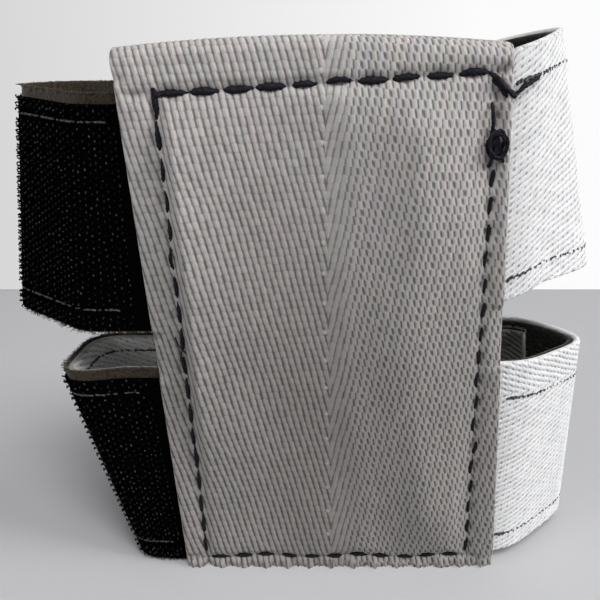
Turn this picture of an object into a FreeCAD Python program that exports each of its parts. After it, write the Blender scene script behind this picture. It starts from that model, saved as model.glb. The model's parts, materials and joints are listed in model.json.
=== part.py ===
import FreeCAD, Part
import math
import os
import Sketcher
from FreeCAD import Placement, Rotation, Vector

# Two-band fabric wrist strap that stands on its lower edges.
# X runs across the front panel, Y from its front face to the back of the bands, Z up.
# The origin is on the table, at the middle of the panel's lower front edge.
# Bends are numbered along a strap: near the panel, at the side turn, at the back.

SIZES = (
    # Front panel: one length of webbing folded double at the top
    ("panel_width", 50.0),
    ("panel_margin", 4.2),
    ("panel_arch", 1.7),
    ("panel_lean", 5.2),
    ("panel_layer", 1.2),
    ("crown_height", 0.8),
    ("crown_edge", 0.1),
    ("crown_run_low", 9.0),
    ("crown_run_high", 12.0),
    ("middle_rise", 0.15),
    ("seam_depth", 0.45),
    ("seam_land", 1.2),
    ("edge_round", 0.5),
    ("left_seam_low", 3.4),
    ("left_seam_high", 5.0),
    ("right_seam_low", 4.5),
    ("right_seam_high", 1.9),
    ("top_seam_left", 5.9),
    ("top_seam_right", 2.7),
    ("bottom_seam", 1.8),
    # Thread
    ("stitch_length", 3.0),
    ("stitch_pitch", 4.0),
    ("bottom_pitch", 3.6),
    ("stitch_width", 0.8),
    ("corner_gap", 0.5),
    ("knot_drop", 10.9),
    ("knot_length", 4.4),
    ("knot_width", 1.7),
    ("thread_height", 0.25),
    ("thread_width", 0.5),
    ("thread_lift", 0.02),
    # Layers of the two kinds of strap
    ("strap_width", 34.5),
    ("strap_thickness", 1.9),
    ("strap_webbing", 1.0),
    ("backing", 0.4),
    ("hook_height", 0.7),
    ("tail_length", 16.0),
    ("tape_inset_low", 0.4),
    ("tape_inset_high", 1.5),
    ("lining_inset", 0.3),
    ("hook_seam_inset", 3.4),
    ("loop_seam_low", 3.0),
    ("upper_loop_seam_high", 3.9),
    ("lower_loop_seam_high", 6.0),
    ("seam_setback", 0.6),
    # Clearances
    ("hinge_gap", 0.3),
    ("closing_gap", 0.3),
    ("peel_gap", 0.3),
    ("fold_gap", 0.2),
    ("rivet_gap", 0.05),
    # Bends of the straps, as radii of the outer face
    ("near_bend", 4.0),
    ("turn_bend", 3.0),
    ("hook_back_bend", 6.0),
    ("loop_back_bend", 8.0),
    ("tip_bend", 4.0),
    ("upper_tip_setback", 1.7),
    ("lower_tip_setback", 0.1),
    ("tip_angle", 40.0),
    ("tip_run", 1.2),
    ("turn_run", 1.0),
    ("wrist_space", 11.9),
    ("trim_margin", 0.5),
    ("trim_reach", 70.0),
    # Room between the upper and the lower band, at the hook straps and at the loop straps
    ("hook_band_gap", 6.5),
    ("loop_band_gap", 10.6),
    # Bends of each strap, from its start at the panel's edge, at its low and at its high outline
    ("upper_hook_rise", 4.8),
    ("upper_hook_lead_low", 8.6),
    ("upper_hook_lead_high", 2.6),
    ("upper_hook_reach_low", 19.6),
    ("upper_hook_reach_high", 10.1),
    ("upper_hook_depth_low", 12.6),
    ("upper_hook_depth_high", 10.1),
    ("upper_hook_back_low", 3.7),
    ("upper_hook_back_high", 4.1),
    ("lower_hook_rise", 1.2),
    ("lower_hook_lead_low", 1.2),
    ("lower_hook_lead_high", 3.1),
    ("lower_hook_reach_low", 4.5),
    ("lower_hook_reach_high", 10.9),
    ("lower_hook_depth_low", 4.6),
    ("lower_hook_depth_high", 4.6),
    ("lower_hook_back_low", 2.8),
    ("lower_hook_back_high", 3.6),
    ("upper_loop_rise", 1.9),
    ("upper_loop_fall", 2.1),
    ("upper_loop_lead_low", 0.8),
    ("upper_loop_lead_high", 0.9),
    ("upper_loop_reach_low", 13.8),
    ("upper_loop_reach_high", 5.2),
    ("upper_loop_depth_low", 14.9),
    ("upper_loop_depth_high", 9.5),
    ("upper_loop_back_low", 5.7),
    ("upper_loop_back_high", 6.3),
    ("lower_loop_rise", 0.1),
    ("lower_loop_fall", 1.8),
    ("lower_loop_lead_low", 0.7),
    ("lower_loop_lead_high", 2.7),
    ("lower_loop_reach_low", 13.0),
    ("lower_loop_reach_high", 11.9),
    ("lower_loop_depth_low", 14.3),
    ("lower_loop_depth_high", 10.5),
    ("lower_loop_back_low", 6.3),
    ("lower_loop_back_high", 8.0),
    ("flap_inset", 3.0),
    # Ground snap on the back of the upper flap
    ("snap_inset", 20.0),
    ("snap_flange_radius", 5.5),
    ("snap_flange", 0.6),
    ("snap_neck_radius", 1.6),
    ("snap_neck", 1.0),
    ("snap_head_radius", 2.0),
    ("snap_head", 1.6),
    ("snap_crown", 0.4),
    ("eyelet_radius", 1.1),
    ("eyelet_flange_radius", 3.8),
    ("eyelet_flange", 0.4),
)


class Size:
    """A length or an angle that knows its value and the expression that gives it."""

    def __init__(self, text, value):
        self.text = text
        self.value = value

    def __add__(self, other):
        other = as_size(other)
        return Size("(%s + %s)" % (self.text, other.text), self.value + other.value)

    def __sub__(self, other):
        other = as_size(other)
        return Size("(%s - %s)" % (self.text, other.text), self.value - other.value)

    def __mul__(self, other):
        other = as_size(other)
        return Size("(%s * %s)" % (self.text, other.text), self.value * other.value)

    def __truediv__(self, other):
        other = as_size(other)
        return Size("(%s / %s)" % (self.text, other.text), self.value / other.value)

    def __neg__(self):
        return Size("(-1 * %s)" % self.text, -self.value)


def as_size(number):
    """A plain number as a size."""
    if isinstance(number, Size):
        return number
    return Size("(%r)" % float(number), float(number))


def size(name):
    """The size that the sheet holds under this name."""
    return Size("Sizes." + name, sheet.get(name))


def root(square):
    return Size("sqrt(%s)" % square.text, math.sqrt(square.value))


def degrees(number):
    """A plain number of degrees as an angle."""
    return Size("(%s * 1 deg)" % number.text, number.value)


def heading(rise, run):
    return Size("atan2(%s; %s)" % (rise.text, run.text), math.degrees(math.atan2(rise.value, run.value)))


def arcsine(share):
    return Size("asin(%s)" % share.text, math.degrees(math.asin(share.value)))


def make_sheet():
    """Write the driving sizes into the spreadsheet, one alias each."""
    for row, (name, number) in enumerate(SIZES, start=1):
        sheet.set("A%d" % row, name)
        sheet.set("B%d" % row, "%g" % number)
        sheet.setAlias("B%d" % row, name)
    doc.recompute()


def new_body(label):
    body = doc.addObject("PartDesign::Body", label)
    body.Label = label
    body.AllowCompound = True
    return body


def new_sketch(body, name, role, offset=None):
    """A sketch on one of its body's origin planes, moved along the plane's normal."""
    sketch = body.newObject("Sketcher::SketchObject", body.Name + "_" + name)
    plane = [item for item in body.Origin.OriginFeatures if item.Role == role][0]
    sketch.AttachmentSupport = [(plane, "")]
    sketch.MapMode = "FlatFace"
    if offset is not None:
        sketch.setExpression("AttachmentOffset.Base.z", offset.text)
    return sketch


def drive(sketch, constraint, amount):
    """Add a constraint and bind its number to a size."""
    index = sketch.addConstraint(constraint)
    sketch.setExpression("Constraints[%d]" % index, amount.text)


def hold_point(sketch, item, end, across, along):
    drive(sketch, Sketcher.Constraint("DistanceX", -1, 1, item, end, across.value), across)
    drive(sketch, Sketcher.Constraint("DistanceY", -1, 1, item, end, along.value), along)


def draw_polygon(sketch, corners):
    """A closed polygon whose corners are pairs of sizes."""
    points = [Vector(across.value, along.value, 0) for across, along in corners]
    first = sketch.GeometryCount
    for index, point in enumerate(points):
        sketch.addGeometry(Part.LineSegment(point, points[(index + 1) % len(points)]), False)
    joints = []
    for index in range(len(points)):
        after = first + (index + 1) % len(points)
        joints.append(Sketcher.Constraint("Coincident", first + index, 2, after, 1))
    sketch.addConstraint(joints)
    for index, (across, along) in enumerate(corners):
        hold_point(sketch, first + index, 1, across, along)


# The plan outline of a strap
def tangent_heading(before, after):
    """The direction of the outer face between two bends, given as (across, back, radius)."""
    across = after[0] - before[0]
    back = after[1] - before[1]
    distance = root(across * across + back * back)
    return heading(back, across) + arcsine((before[2] - after[2]) / distance)


def tangent_length(before, after):
    across = after[0] - before[0]
    back = after[1] - before[1]
    step = before[2] - after[2]
    return root(across * across + back * back - step * step)


def outward(angle):
    """Unit vector out of the strap's outer face, for a face that runs at this angle."""
    return Vector(math.sin(math.radians(angle)), -math.cos(math.radians(angle)), 0)


def along_face(angle):
    return Vector(math.cos(math.radians(angle)), math.sin(math.radians(angle)), 0)


def draw_face(sketch, side, route, offset):
    """One face of a strap layer: lines and the arcs of its bends. Returns what the outline needs."""
    bends = route["bends"]
    angles = [route["first"]["angle"].value]
    for before, after in zip(bends[:-1], bends[1:]):
        angles.append(tangent_heading(before, after).value)
    angles.append(route["last"]["angle"].value)
    centres = [Vector(bend[0].value, bend[1].value, 0) for bend in bends]
    radii = [bend[2].value - offset.value for bend in bends]
    ends = []
    for index in range(len(bends) + 1):
        start = centres[index - 1] + outward(angles[index]) * radii[index - 1] if index else None
        stop = centres[index] + outward(angles[index]) * radii[index] if index < len(bends) else None
        ends.append([start, stop])
    first = route["first"]
    last = route["last"]
    if "across" in first:
        ends[0][0] = Vector(first["across"].value, ends[0][1].y, 0)
    else:
        ends[0][0] = ends[0][1] - along_face(angles[0]) * first["run"].value
    if "across" in last:
        ends[-1][1] = Vector(last["across"].value, ends[-1][0].y, 0)
    else:
        ends[-1][1] = ends[-1][0] + along_face(angles[-1]) * last["run"].value

    def placed(point):
        return Vector(side * point.x, point.y, 0)

    lines = []
    arcs = []
    for start, stop in ends:
        lines.append(sketch.addGeometry(Part.LineSegment(placed(start), placed(stop)), False))
    for index, centre in enumerate(centres):
        turn_from = math.radians(angles[index] - 90)
        turn_to = math.radians(angles[index + 1] - 90)
        if side < 0:
            turn_from, turn_to = math.pi - turn_to, math.pi - turn_from
        circle = Part.Circle(placed(centre), Vector(0, 0, 1), radii[index])
        arcs.append(sketch.addGeometry(Part.ArcOfCircle(circle, turn_from, turn_to), False))
    enter, leave = (1, 2) if side > 0 else (2, 1)
    joints = []
    for index, arc in enumerate(arcs):
        joints.append(Sketcher.Constraint("Tangent", lines[index], 2, arc, enter))
        joints.append(Sketcher.Constraint("Tangent", arc, leave, lines[index + 1], 1))
    sketch.addConstraint(joints)
    for arc, bend in zip(arcs, bends):
        radius = bend[2] - offset
        drive(sketch, Sketcher.Constraint("Radius", arc, radius.value), radius)
    return lines, arcs


def end_face(sketch, side, spec, line, end, cap_end):
    """Hold the free end of an outer face: straight across at a place, or at an angle and a run."""
    if "across" in spec:
        sketch.addConstraint(Sketcher.Constraint("Horizontal", line))
        place = spec["across"] * side
        drive(sketch, Sketcher.Constraint("DistanceX", -1, 1, line, end, place.value), place)
        sketch.addConstraint(Sketcher.Constraint("Vertical", cap_end))
        return
    turned = spec["angle"] if side > 0 else degrees(as_size(180)) - spec["angle"]
    drive(sketch, Sketcher.Constraint("Angle", line, math.radians(turned.value)), turned)
    drive(sketch, Sketcher.Constraint("Distance", line, spec["run"].value), spec["run"])
    sketch.addConstraint(Sketcher.Constraint("Perpendicular", line, cap_end))


def draw_outline(sketch, side, route, outer, inner):
    """The closed plan outline of one strap layer, between two offsets from the strap's outer face."""
    outer_lines, outer_arcs = draw_face(sketch, side, route, outer)
    inner_lines, inner_arcs = draw_face(sketch, side, route, inner)
    caps = []
    for index, end in ((0, 1), (-1, 2)):
        start = sketch.getPoint(outer_lines[index], end)
        stop = sketch.getPoint(inner_lines[index], end)
        cap = sketch.addGeometry(Part.LineSegment(start, stop), False)
        sketch.addConstraint(Sketcher.Constraint("Coincident", outer_lines[index], end, cap, 1))
        sketch.addConstraint(Sketcher.Constraint("Coincident", inner_lines[index], end, cap, 2))
        caps.append(cap)
    for outer_arc, inner_arc, bend in zip(outer_arcs, inner_arcs, route["bends"]):
        hold_point(sketch, outer_arc, 3, bend[0] * side, bend[1])
        sketch.addConstraint(Sketcher.Constraint("Coincident", outer_arc, 3, inner_arc, 3))
    end_face(sketch, side, route["first"], outer_lines[0], 1, caps[0])
    end_face(sketch, side, route["last"], outer_lines[-1], 2, caps[1])
    sketch.addConstraint(Sketcher.Constraint("Parallel", outer_lines[0], inner_lines[0]))
    sketch.addConstraint(Sketcher.Constraint("Parallel", outer_lines[-1], inner_lines[-1]))


def trim_edges(body, edges, strips):
    """Cut a loft back to the strips between its edges. An edge is a list of (across, low, high)."""
    sketch = new_sketch(body, "edges", "XZ_Plane")
    floor = -size("trim_reach")
    ceiling = panel_height() + size("trim_reach")
    draw_polygon(sketch, [(edges[0][0], floor), (edges[-1][0], floor)] + chain(edges, strips[0][0], True))
    for below, above in zip(strips[:-1], strips[1:]):
        draw_polygon(sketch, chain(edges, below[1], False) + chain(edges, above[0], True))
    draw_polygon(sketch, chain(edges, strips[-1][1], False) + [(edges[-1][0], ceiling), (edges[0][0], ceiling)])
    cut = body.newObject("PartDesign::Pocket", body.Name + "_trim")
    cut.Profile = sketch
    cut.Type = "ThroughAll"
    cut.SideType = "Symmetric"


def chain(edges, boundary, backwards):
    """The points of one strip boundary: (1 for low or 2 for high edge, offset from it)."""
    which, offset = boundary
    points = [(knot[0], knot[which] + offset) for knot in edges]
    return points[::-1] if backwards else points


def strap_layer(label, side, levels, layer, edges, strips):
    """A layer of a strap, lofted between its low and its high outline and trimmed to its edges."""
    body = new_body(label)
    sketches = []
    for name, height, route in levels:
        sketch = new_sketch(body, name, "XY_Plane", height)
        draw_outline(sketch, side, route, layer[0], layer[1])
        sketches.append(sketch)
    loft = body.newObject("PartDesign::AdditiveLoft", body.Name + "_loft")
    loft.Profile = sketches[0]
    loft.Sections = [sketches[1]]
    loft.Ruled = True
    trim_edges(body, edges, strips)
    return body


def panel_height():
    """The panel is as high as the two hook straps, the gap between them and a margin for the fold."""
    return size("strap_width") * 2 + size("hook_band_gap") + size("panel_margin")


def panel_edge(height):
    """How far the panel's edge at this height is from its foot, out of the left side."""
    return size("panel_lean") * height / panel_height()


def back_of_hook():
    return size("panel_layer") + size("strap_thickness") * 2 + size("wrist_space")


def back_of_loop():
    return back_of_hook() + size("hook_height") + size("closing_gap") + size("strap_thickness")


def hook_base(band):
    return size("strap_width") + size("hook_band_gap") if band == "upper" else as_size(0)


def loop_base(band):
    """The loop strap's lower edge where it leaves the panel; the lower flap ends on the table."""
    return size("strap_width") + size("loop_band_gap") if band == "upper" else size("lower_loop_fall")


def hook_level(band, level):
    if level == "low":
        return hook_base(band) - size("trim_margin")
    return hook_base(band) + size("strap_width") + size(band + "_hook_rise") + size("trim_margin")


def loop_level(band, level):
    if level == "low":
        return loop_base(band) - size(band + "_loop_fall") - size("trim_margin")
    return loop_base(band) + size("strap_width") + size(band + "_loop_rise") + size("trim_margin")


def strap_start(kind, height):
    """Where a strap starts outside the panel, measured from the middle towards its own side."""
    edge = size("panel_width") / 2 + size("hinge_gap")
    return edge + panel_edge(height) if kind == "hook" else edge - panel_edge(height)


def strap_bends(kind, band, level):
    """A strap's start and its bends: near the panel, at the side turn and at the back."""
    height = hook_level(band, level) if kind == "hook" else loop_level(band, level)
    back = back_of_hook() if kind == "hook" else back_of_loop()
    name = band + "_" + kind
    start = strap_start(kind, height)
    turn = start + size(name + "_reach_" + level)
    back_bend = size(kind + "_back_bend")
    return start, [
        (start + size(name + "_lead_" + level), size("panel_layer") + size("near_bend"), size("near_bend")),
        (turn, size(name + "_depth_" + level), size("turn_bend")),
        (turn - size(name + "_back_" + level), back - back_bend, back_bend),
    ]


def hook_route(band, level):
    """The hook strap's way: left from the panel, round the turn, behind and to its tip on the right."""
    start, bends = strap_bends("hook", band, level)
    loop_low = loop_level(band, "low")
    share = (hook_level(band, level) - loop_low) / (loop_level(band, "high") - loop_low)
    back_low = strap_bends("loop", band, "low")[1][2][0]
    back_high = strap_bends("loop", band, "high")[1][2][0]
    tip = back_low + (back_high - back_low) * share - size(band + "_tip_setback")
    bends.append((-tip, back_of_hook() - size("tip_bend"), size("tip_bend")))
    first = {"angle": degrees(as_size(0)), "across": start}
    last = {"angle": degrees(as_size(180) + size("tip_angle")), "run": size("tip_run")}
    return {"bends": bends, "first": first, "last": last}


def loop_side_route(band, level):
    """The sewn-in side of the loop strap: from inside the panel to just past the right turn."""
    start, bends = strap_bends("loop", band, level)
    first = {"angle": degrees(as_size(0)), "across": start - size("hinge_gap") - size("tail_length")}
    last = {"angle": tangent_heading(bends[1], bends[2]), "run": size("turn_run")}
    return {"bends": bends[:2], "first": first, "last": last}


def flap_route(band, level):
    """The flap: from just past the right turn to the strap's free end behind the panel."""
    bends = strap_bends("loop", band, level)[1]
    run = tangent_length(bends[1], bends[2]) - size("turn_run") - size("peel_gap")
    first = {"angle": tangent_heading(bends[1], bends[2]), "run": run}
    last = {"angle": degrees(as_size(180)), "across": flap_end()}
    return {"bends": bends[2:], "first": first, "last": last}


def flap_end():
    """The flap's free end, a little inside the panel's left edge."""
    return size("flap_inset") - size("panel_width") / 2


def strap_edges(knots):
    """Edges of a strap from (across, base) knots: the strap is equally wide all along."""
    reach = size("trim_reach")
    points = [(-reach, knots[0][1])] + knots + [(reach, knots[-1][1])]
    return [(across, base, base + size("strap_width")) for across, base in points]


def hook_edges(band):
    """Level beside the panel, then climbing behind it to meet the loop strap."""
    base = hook_base(band)
    left = -size("panel_width") / 2
    right = strap_bends("loop", band, "low")[1][2][0]
    return strap_edges([(left, base), (right, base + size(band + "_hook_rise"))])


def loop_turn(band):
    """How far right the loop strap's turn reaches at its top."""
    return strap_bends("loop", band, "high")[1][1][0] + size("turn_bend")


def loop_edges(band):
    """Climbing from the panel's edge to the turn on the right, falling to the free end on the left."""
    base = loop_base(band)
    edge = size("panel_width") / 2 - panel_edge(base + size("strap_width"))
    return strap_edges([
        (flap_end(), base - size(band + "_loop_fall")),
        (edge, base),
        (loop_turn(band), base + size(band + "_loop_rise")),
    ])


def side_edges(band):
    """Edges of the loop strap's sewn-in side, whose tail tucks in under the panel's fold."""
    base = loop_base(band)
    top = base + size("strap_width")
    under_fold = panel_height() - size("panel_layer") - size("fold_gap")
    tail_top = under_fold if band == "upper" else top
    edge = strap_start("loop", top)
    turn = loop_turn(band)
    climb = size(band + "_loop_rise")
    return [
        (-size("trim_reach"), base, tail_top),
        (edge, base, tail_top),
        (edge + size("fold_gap"), base, top),
        (turn, base + climb, top + climb),
        (size("trim_reach"), base + climb, top + climb),
    ]


def full_strip(low=None, high=None):
    return [((1, low or as_size(0)), (2, -high if high else as_size(0)))]


def thread_strips(low, high):
    """Two thin lines of thread, at these distances inside the low and the high edge."""
    wide = size("thread_width")
    return [((1, low), (1, low + wide)), ((2, -high - wide), (2, -high))]


def make_hook_strap(band):
    """Webbing, backing, hook tape and stitching of one hook strap."""
    levels = [(level, hook_level(band, level), hook_route(band, level)) for level in ("low", "high")]
    edges = hook_edges(band)
    thickness = size("strap_thickness")
    webbing = thickness - size("strap_webbing")
    tape = webbing - size("backing")
    hooks = -size("hook_height")
    thread = thickness + size("thread_height")
    name = band + "_hook_"
    strap_layer(name + "strap_webbing", -1, levels, (webbing, thickness), edges, full_strip())
    strap_layer(name + "strap_backing", -1, levels, (tape, webbing), edges, full_strip())
    tape_strip = full_strip(size("tape_inset_low"), size("tape_inset_high"))
    strap_layer(name + "tape", -1, levels, (hooks, tape), edges, tape_strip)
    seams = thread_strips(size("hook_seam_inset"), size("hook_seam_inset"))
    strap_layer(name + "strap_stitching", -1, levels, (thickness, thread), edges, seams)
    make_hook_tail(band)


def make_hook_tail(band):
    """The hook strap's sewn-in end, flat between the panel's two layers."""
    body = new_body(band + "_hook_strap_tail")
    sketch = new_sketch(body, "outline", "XZ_Plane", -size("panel_layer"))
    low = hook_base(band)
    high = low + size("strap_width")
    corners = []
    for height, inward in ((low, 0), (low, 1), (high, 1), (high, 0)):
        edge = -(size("panel_width") / 2 + panel_edge(height))
        corners.append((edge + size("tail_length") * inward, height))
    draw_polygon(sketch, corners)
    pad = body.newObject("PartDesign::Pad", body.Name + "_pad")
    pad.Profile = sketch
    pad.Reversed = True
    pad.setExpression("Length", size("strap_thickness").text)


def make_loop_strap(band):
    """Webbing, lining and stitching of the sewn-in side and of the flap of one loop strap."""
    side_levels = [(level, loop_level(band, level), loop_side_route(band, level)) for level in ("low", "high")]
    flap_levels = [(level, loop_level(band, level), flap_route(band, level)) for level in ("low", "high")]
    webbing = size("strap_webbing")
    thickness = size("strap_thickness")
    inset = size("lining_inset")
    seams = thread_strips(size("loop_seam_low"), size(band + "_loop_seam_high"))
    bodies = {}
    for part, levels, edges in (("side", side_levels, side_edges(band)), ("flap", flap_levels, loop_edges(band))):
        name = band + "_" + ("loop_side" if part == "side" else "flap")
        bodies[part + "_webbing"] = strap_layer(
            name + "_webbing", 1, levels, (as_size(0), webbing), edges, full_strip())
        bodies[part + "_lining"] = strap_layer(
            name + "_lining", 1, levels, (webbing, thickness), edges, full_strip(inset, inset))
    thread = (-size("thread_height"), -size("thread_lift"))
    stitched = [(level, height, side_seam_route(route)) for level, height, route in side_levels]
    strap_layer(band + "_loop_side_stitching", 1, stitched, thread, side_edges(band), seams)
    stitched = [(level, height, flap_seam_route(route)) for level, height, route in flap_levels]
    strap_layer(band + "_flap_stitching", 1, stitched, thread, loop_edges(band), seams)
    return bodies


def side_seam_route(route):
    """The thread starts just outside the panel's edge and ends short of the peel line."""
    first = dict(route["first"])
    last = dict(route["last"])
    first["across"] = first["across"] + size("tail_length") + size("hinge_gap")
    last["run"] = last["run"] - size("seam_setback")
    return {"bends": route["bends"], "first": first, "last": last}


def flap_seam_route(route):
    """The thread starts a little beyond the peel line."""
    first = dict(route["first"])
    first["run"] = first["run"] - size("seam_setback")
    return {"bends": route["bends"], "first": first, "last": route["last"]}


# Front panel
def seam_inset(side, height):
    """How far a side seam runs from the panel's edge at this height."""
    low = size(side + "_seam_low")
    return low + (size(side + "_seam_high") - low) * height / panel_height()


def panel_section(body, name, height, crown):
    """Plan outline of the panel: flat back, rounded edge strips, sunk seams and two crowns in front."""
    sketch = new_sketch(body, name, "XY_Plane", height)
    shift = -panel_edge(height)
    half = size("panel_width") / 2
    land = size("seam_land") / 2
    thickness = size("panel_layer") * 2 + size("strap_thickness")
    sunk = size("seam_depth")
    left = -half + shift
    right = half + shift
    left_line = left + seam_inset("left", height)
    right_line = right - seam_inset("right", height)
    middle = half - size("tail_length")
    knots = [
        (left, thickness), (left, sunk + size("edge_round")), (left + size("edge_round"), sunk),
        (left_line - land, sunk), (left_line + land, sunk),
        (-middle + shift, -size("middle_rise")), (middle + shift, -size("middle_rise")),
        (right_line - land, sunk), (right_line + land, sunk),
        (right - size("edge_round"), sunk), (right, sunk + size("edge_round")), (right, thickness),
    ]
    bulges = {2: "edge_round", 4: crown, 6: crown, 8: "edge_round"}
    points = [Vector(across.value, back.value, 0) for across, back in knots]
    for index, start in enumerate(points):
        stop = points[(index + 1) % len(points)]
        height_name = bulges.get(index)
        if height_name:
            middle_point = (start + stop) * 0.5 - Vector(0, size(height_name).value, 0)
            sketch.addGeometry(Part.Arc(start, middle_point, stop), False)
        else:
            sketch.addGeometry(Part.LineSegment(start, stop), False)
    bind_panel_section(sketch, knots, bulges)
    return sketch


def bind_panel_section(sketch, knots, bulges):
    """Tie the panel outline's corners to their sizes, and each bulge's crest to its height."""
    count = len(knots)

    def ends(index):
        start = sketch.getPoint(index, 1)
        given = Vector(knots[index][0].value, knots[index][1].value, 0)
        return (1, 2) if start.distanceToPoint(given) < 0.001 else (2, 1)

    for index, (across, back) in enumerate(knots):
        before = (index - 1) % count
        sketch.addConstraint(Sketcher.Constraint("Coincident", before, ends(before)[1], index, ends(index)[0]))
    for index, (across, back) in enumerate(knots):
        hold_point(sketch, index, ends(index)[0], across, back)
    for index, name in bulges.items():
        start = knots[index]
        stop = knots[(index + 1) % count]
        chord = root((stop[0] - start[0]) * (stop[0] - start[0]) + (stop[1] - start[1]) * (stop[1] - start[1]))
        rise = size(name)
        radius = chord * chord / (rise * 8) + rise / 2
        drive(sketch, Sketcher.Constraint("Radius", index, radius.value), radius)


def make_panel():
    """The folded webbing: lofted block, slot between its layers, rounded fold and sunk cross seams."""
    body = new_body("panel_webbing")
    height = panel_height()
    summit = height + size("panel_arch")
    sections = [
        panel_section(body, "foot", as_size(0), "crown_edge"),
        panel_section(body, "low", size("crown_run_low"), "crown_height"),
        panel_section(body, "high", height - size("crown_run_high"), "crown_height"),
        panel_section(body, "summit", summit, "crown_edge"),
    ]
    loft = body.newObject("PartDesign::AdditiveLoft", "panel_loft")
    loft.Profile = sections[0]
    loft.Sections = sections[1:]
    loft.Ruled = True

    slot = new_sketch(body, "slot", "YZ_Plane")
    front = size("panel_layer")
    back = front + size("strap_thickness")
    below = -size("trim_reach")
    draw_polygon(slot, [(front, below), (back, below), (back, height - front), (front, height - front)])
    symmetric_cut(body, slot, "panel_slot")

    groove = new_sketch(body, "cross_seams", "XZ_Plane", -size("seam_depth"))
    half = size("seam_land") / 2
    top = seam_ends(height - size("top_seam_left"), height - size("top_seam_right"))
    bottom = seam_ends(size("bottom_seam"), size("bottom_seam"))
    for (left, left_height), (right, right_height) in (top, bottom):
        draw_polygon(groove, [(left, left_height - half), (right, right_height - half),
                              (right, right_height + half), (left, left_height + half)])
    front_cut(body, groove, "panel_cross_seams")

    flat = new_sketch(body, "flat_top", "XZ_Plane")
    (left, left_height), (right, right_height) = top
    draw_polygon(flat, [(left, left_height), (right, right_height),
                        (right, summit + half), (left, summit + half)])
    front_cut(body, flat, "panel_flat_top")

    fold = new_sketch(body, "fold", "YZ_Plane", -size("panel_lean"))
    draw_fold(fold)
    arch = body.newObject("PartDesign::Groove", "panel_fold")
    arch.Profile = fold
    arch.ReferenceAxis = (fold, ["Axis0"])
    arch.Midplane = True
    arch.setExpression("Angle", (heading(size("panel_width"), arch_radius()) * 2).text)


def seam_ends(left_height, right_height):
    """The two ends, well outside the panel, of a seam line given by its heights at the panel's sides."""
    half = size("panel_width") / 2
    slope = (right_height - left_height) / 2
    return (-half * 2, left_height - slope), (half * 2, right_height + slope)


def arch_radius():
    """Radius of the arc that the fold follows from corner to corner."""
    half = size("panel_width") / 2
    return half * half / (size("panel_arch") * 2) + size("panel_arch") / 2


def symmetric_cut(body, sketch, name):
    cut = body.newObject("PartDesign::Pocket", name)
    cut.Profile = sketch
    cut.Type = "ThroughAll"
    cut.SideType = "Symmetric"


def front_cut(body, sketch, name):
    """Take away what lies in front of an upright sketch."""
    cut = body.newObject("PartDesign::Pocket", name)
    cut.Profile = sketch
    cut.Type = "ThroughAll"
    cut.Reversed = True


def draw_fold(sketch):
    """What the rounded fold leaves out above it: a frame over a half circle as thick as the panel."""
    thickness = size("panel_layer") * 2 + size("strap_thickness")
    radius = thickness / 2
    summit = panel_height() + size("panel_arch")
    above = summit + radius
    spring = summit - radius
    corners = [(as_size(0), spring), (as_size(0), above), (thickness, above), (thickness, spring)]
    points = [Vector(across.value, along.value, 0) for across, along in corners]
    for start, stop in zip(points[:-1], points[1:]):
        sketch.addGeometry(Part.LineSegment(start, stop), False)
    half_circle = Part.Circle(Vector(radius.value, spring.value, 0), Vector(0, 0, 1), radius.value)
    arc = sketch.addGeometry(Part.ArcOfCircle(half_circle, 0, math.pi), False)
    sketch.addConstraint([
        Sketcher.Constraint("Coincident", 0, 2, 1, 1),
        Sketcher.Constraint("Coincident", 1, 2, 2, 1),
        Sketcher.Constraint("Coincident", 2, 2, arc, 1),
        Sketcher.Constraint("Coincident", arc, 2, 0, 1),
    ])
    hold_point(sketch, arc, 3, radius, spring)
    hold_point(sketch, 0, 1, as_size(0), spring)
    hold_point(sketch, 1, 1, as_size(0), above)
    hold_point(sketch, 2, 1, thickness, above)
    drive(sketch, Sketcher.Constraint("DistanceY", -1, 1, arc, 1, spring.value), spring)
    pivot = summit - arch_radius()
    axis = Part.LineSegment(Vector(0, pivot.value, 0), Vector(thickness.value, pivot.value, 0))
    item = sketch.addGeometry(axis, True)
    hold_point(sketch, item, 1, as_size(0), pivot)
    hold_point(sketch, item, 2, thickness, pivot)


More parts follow.
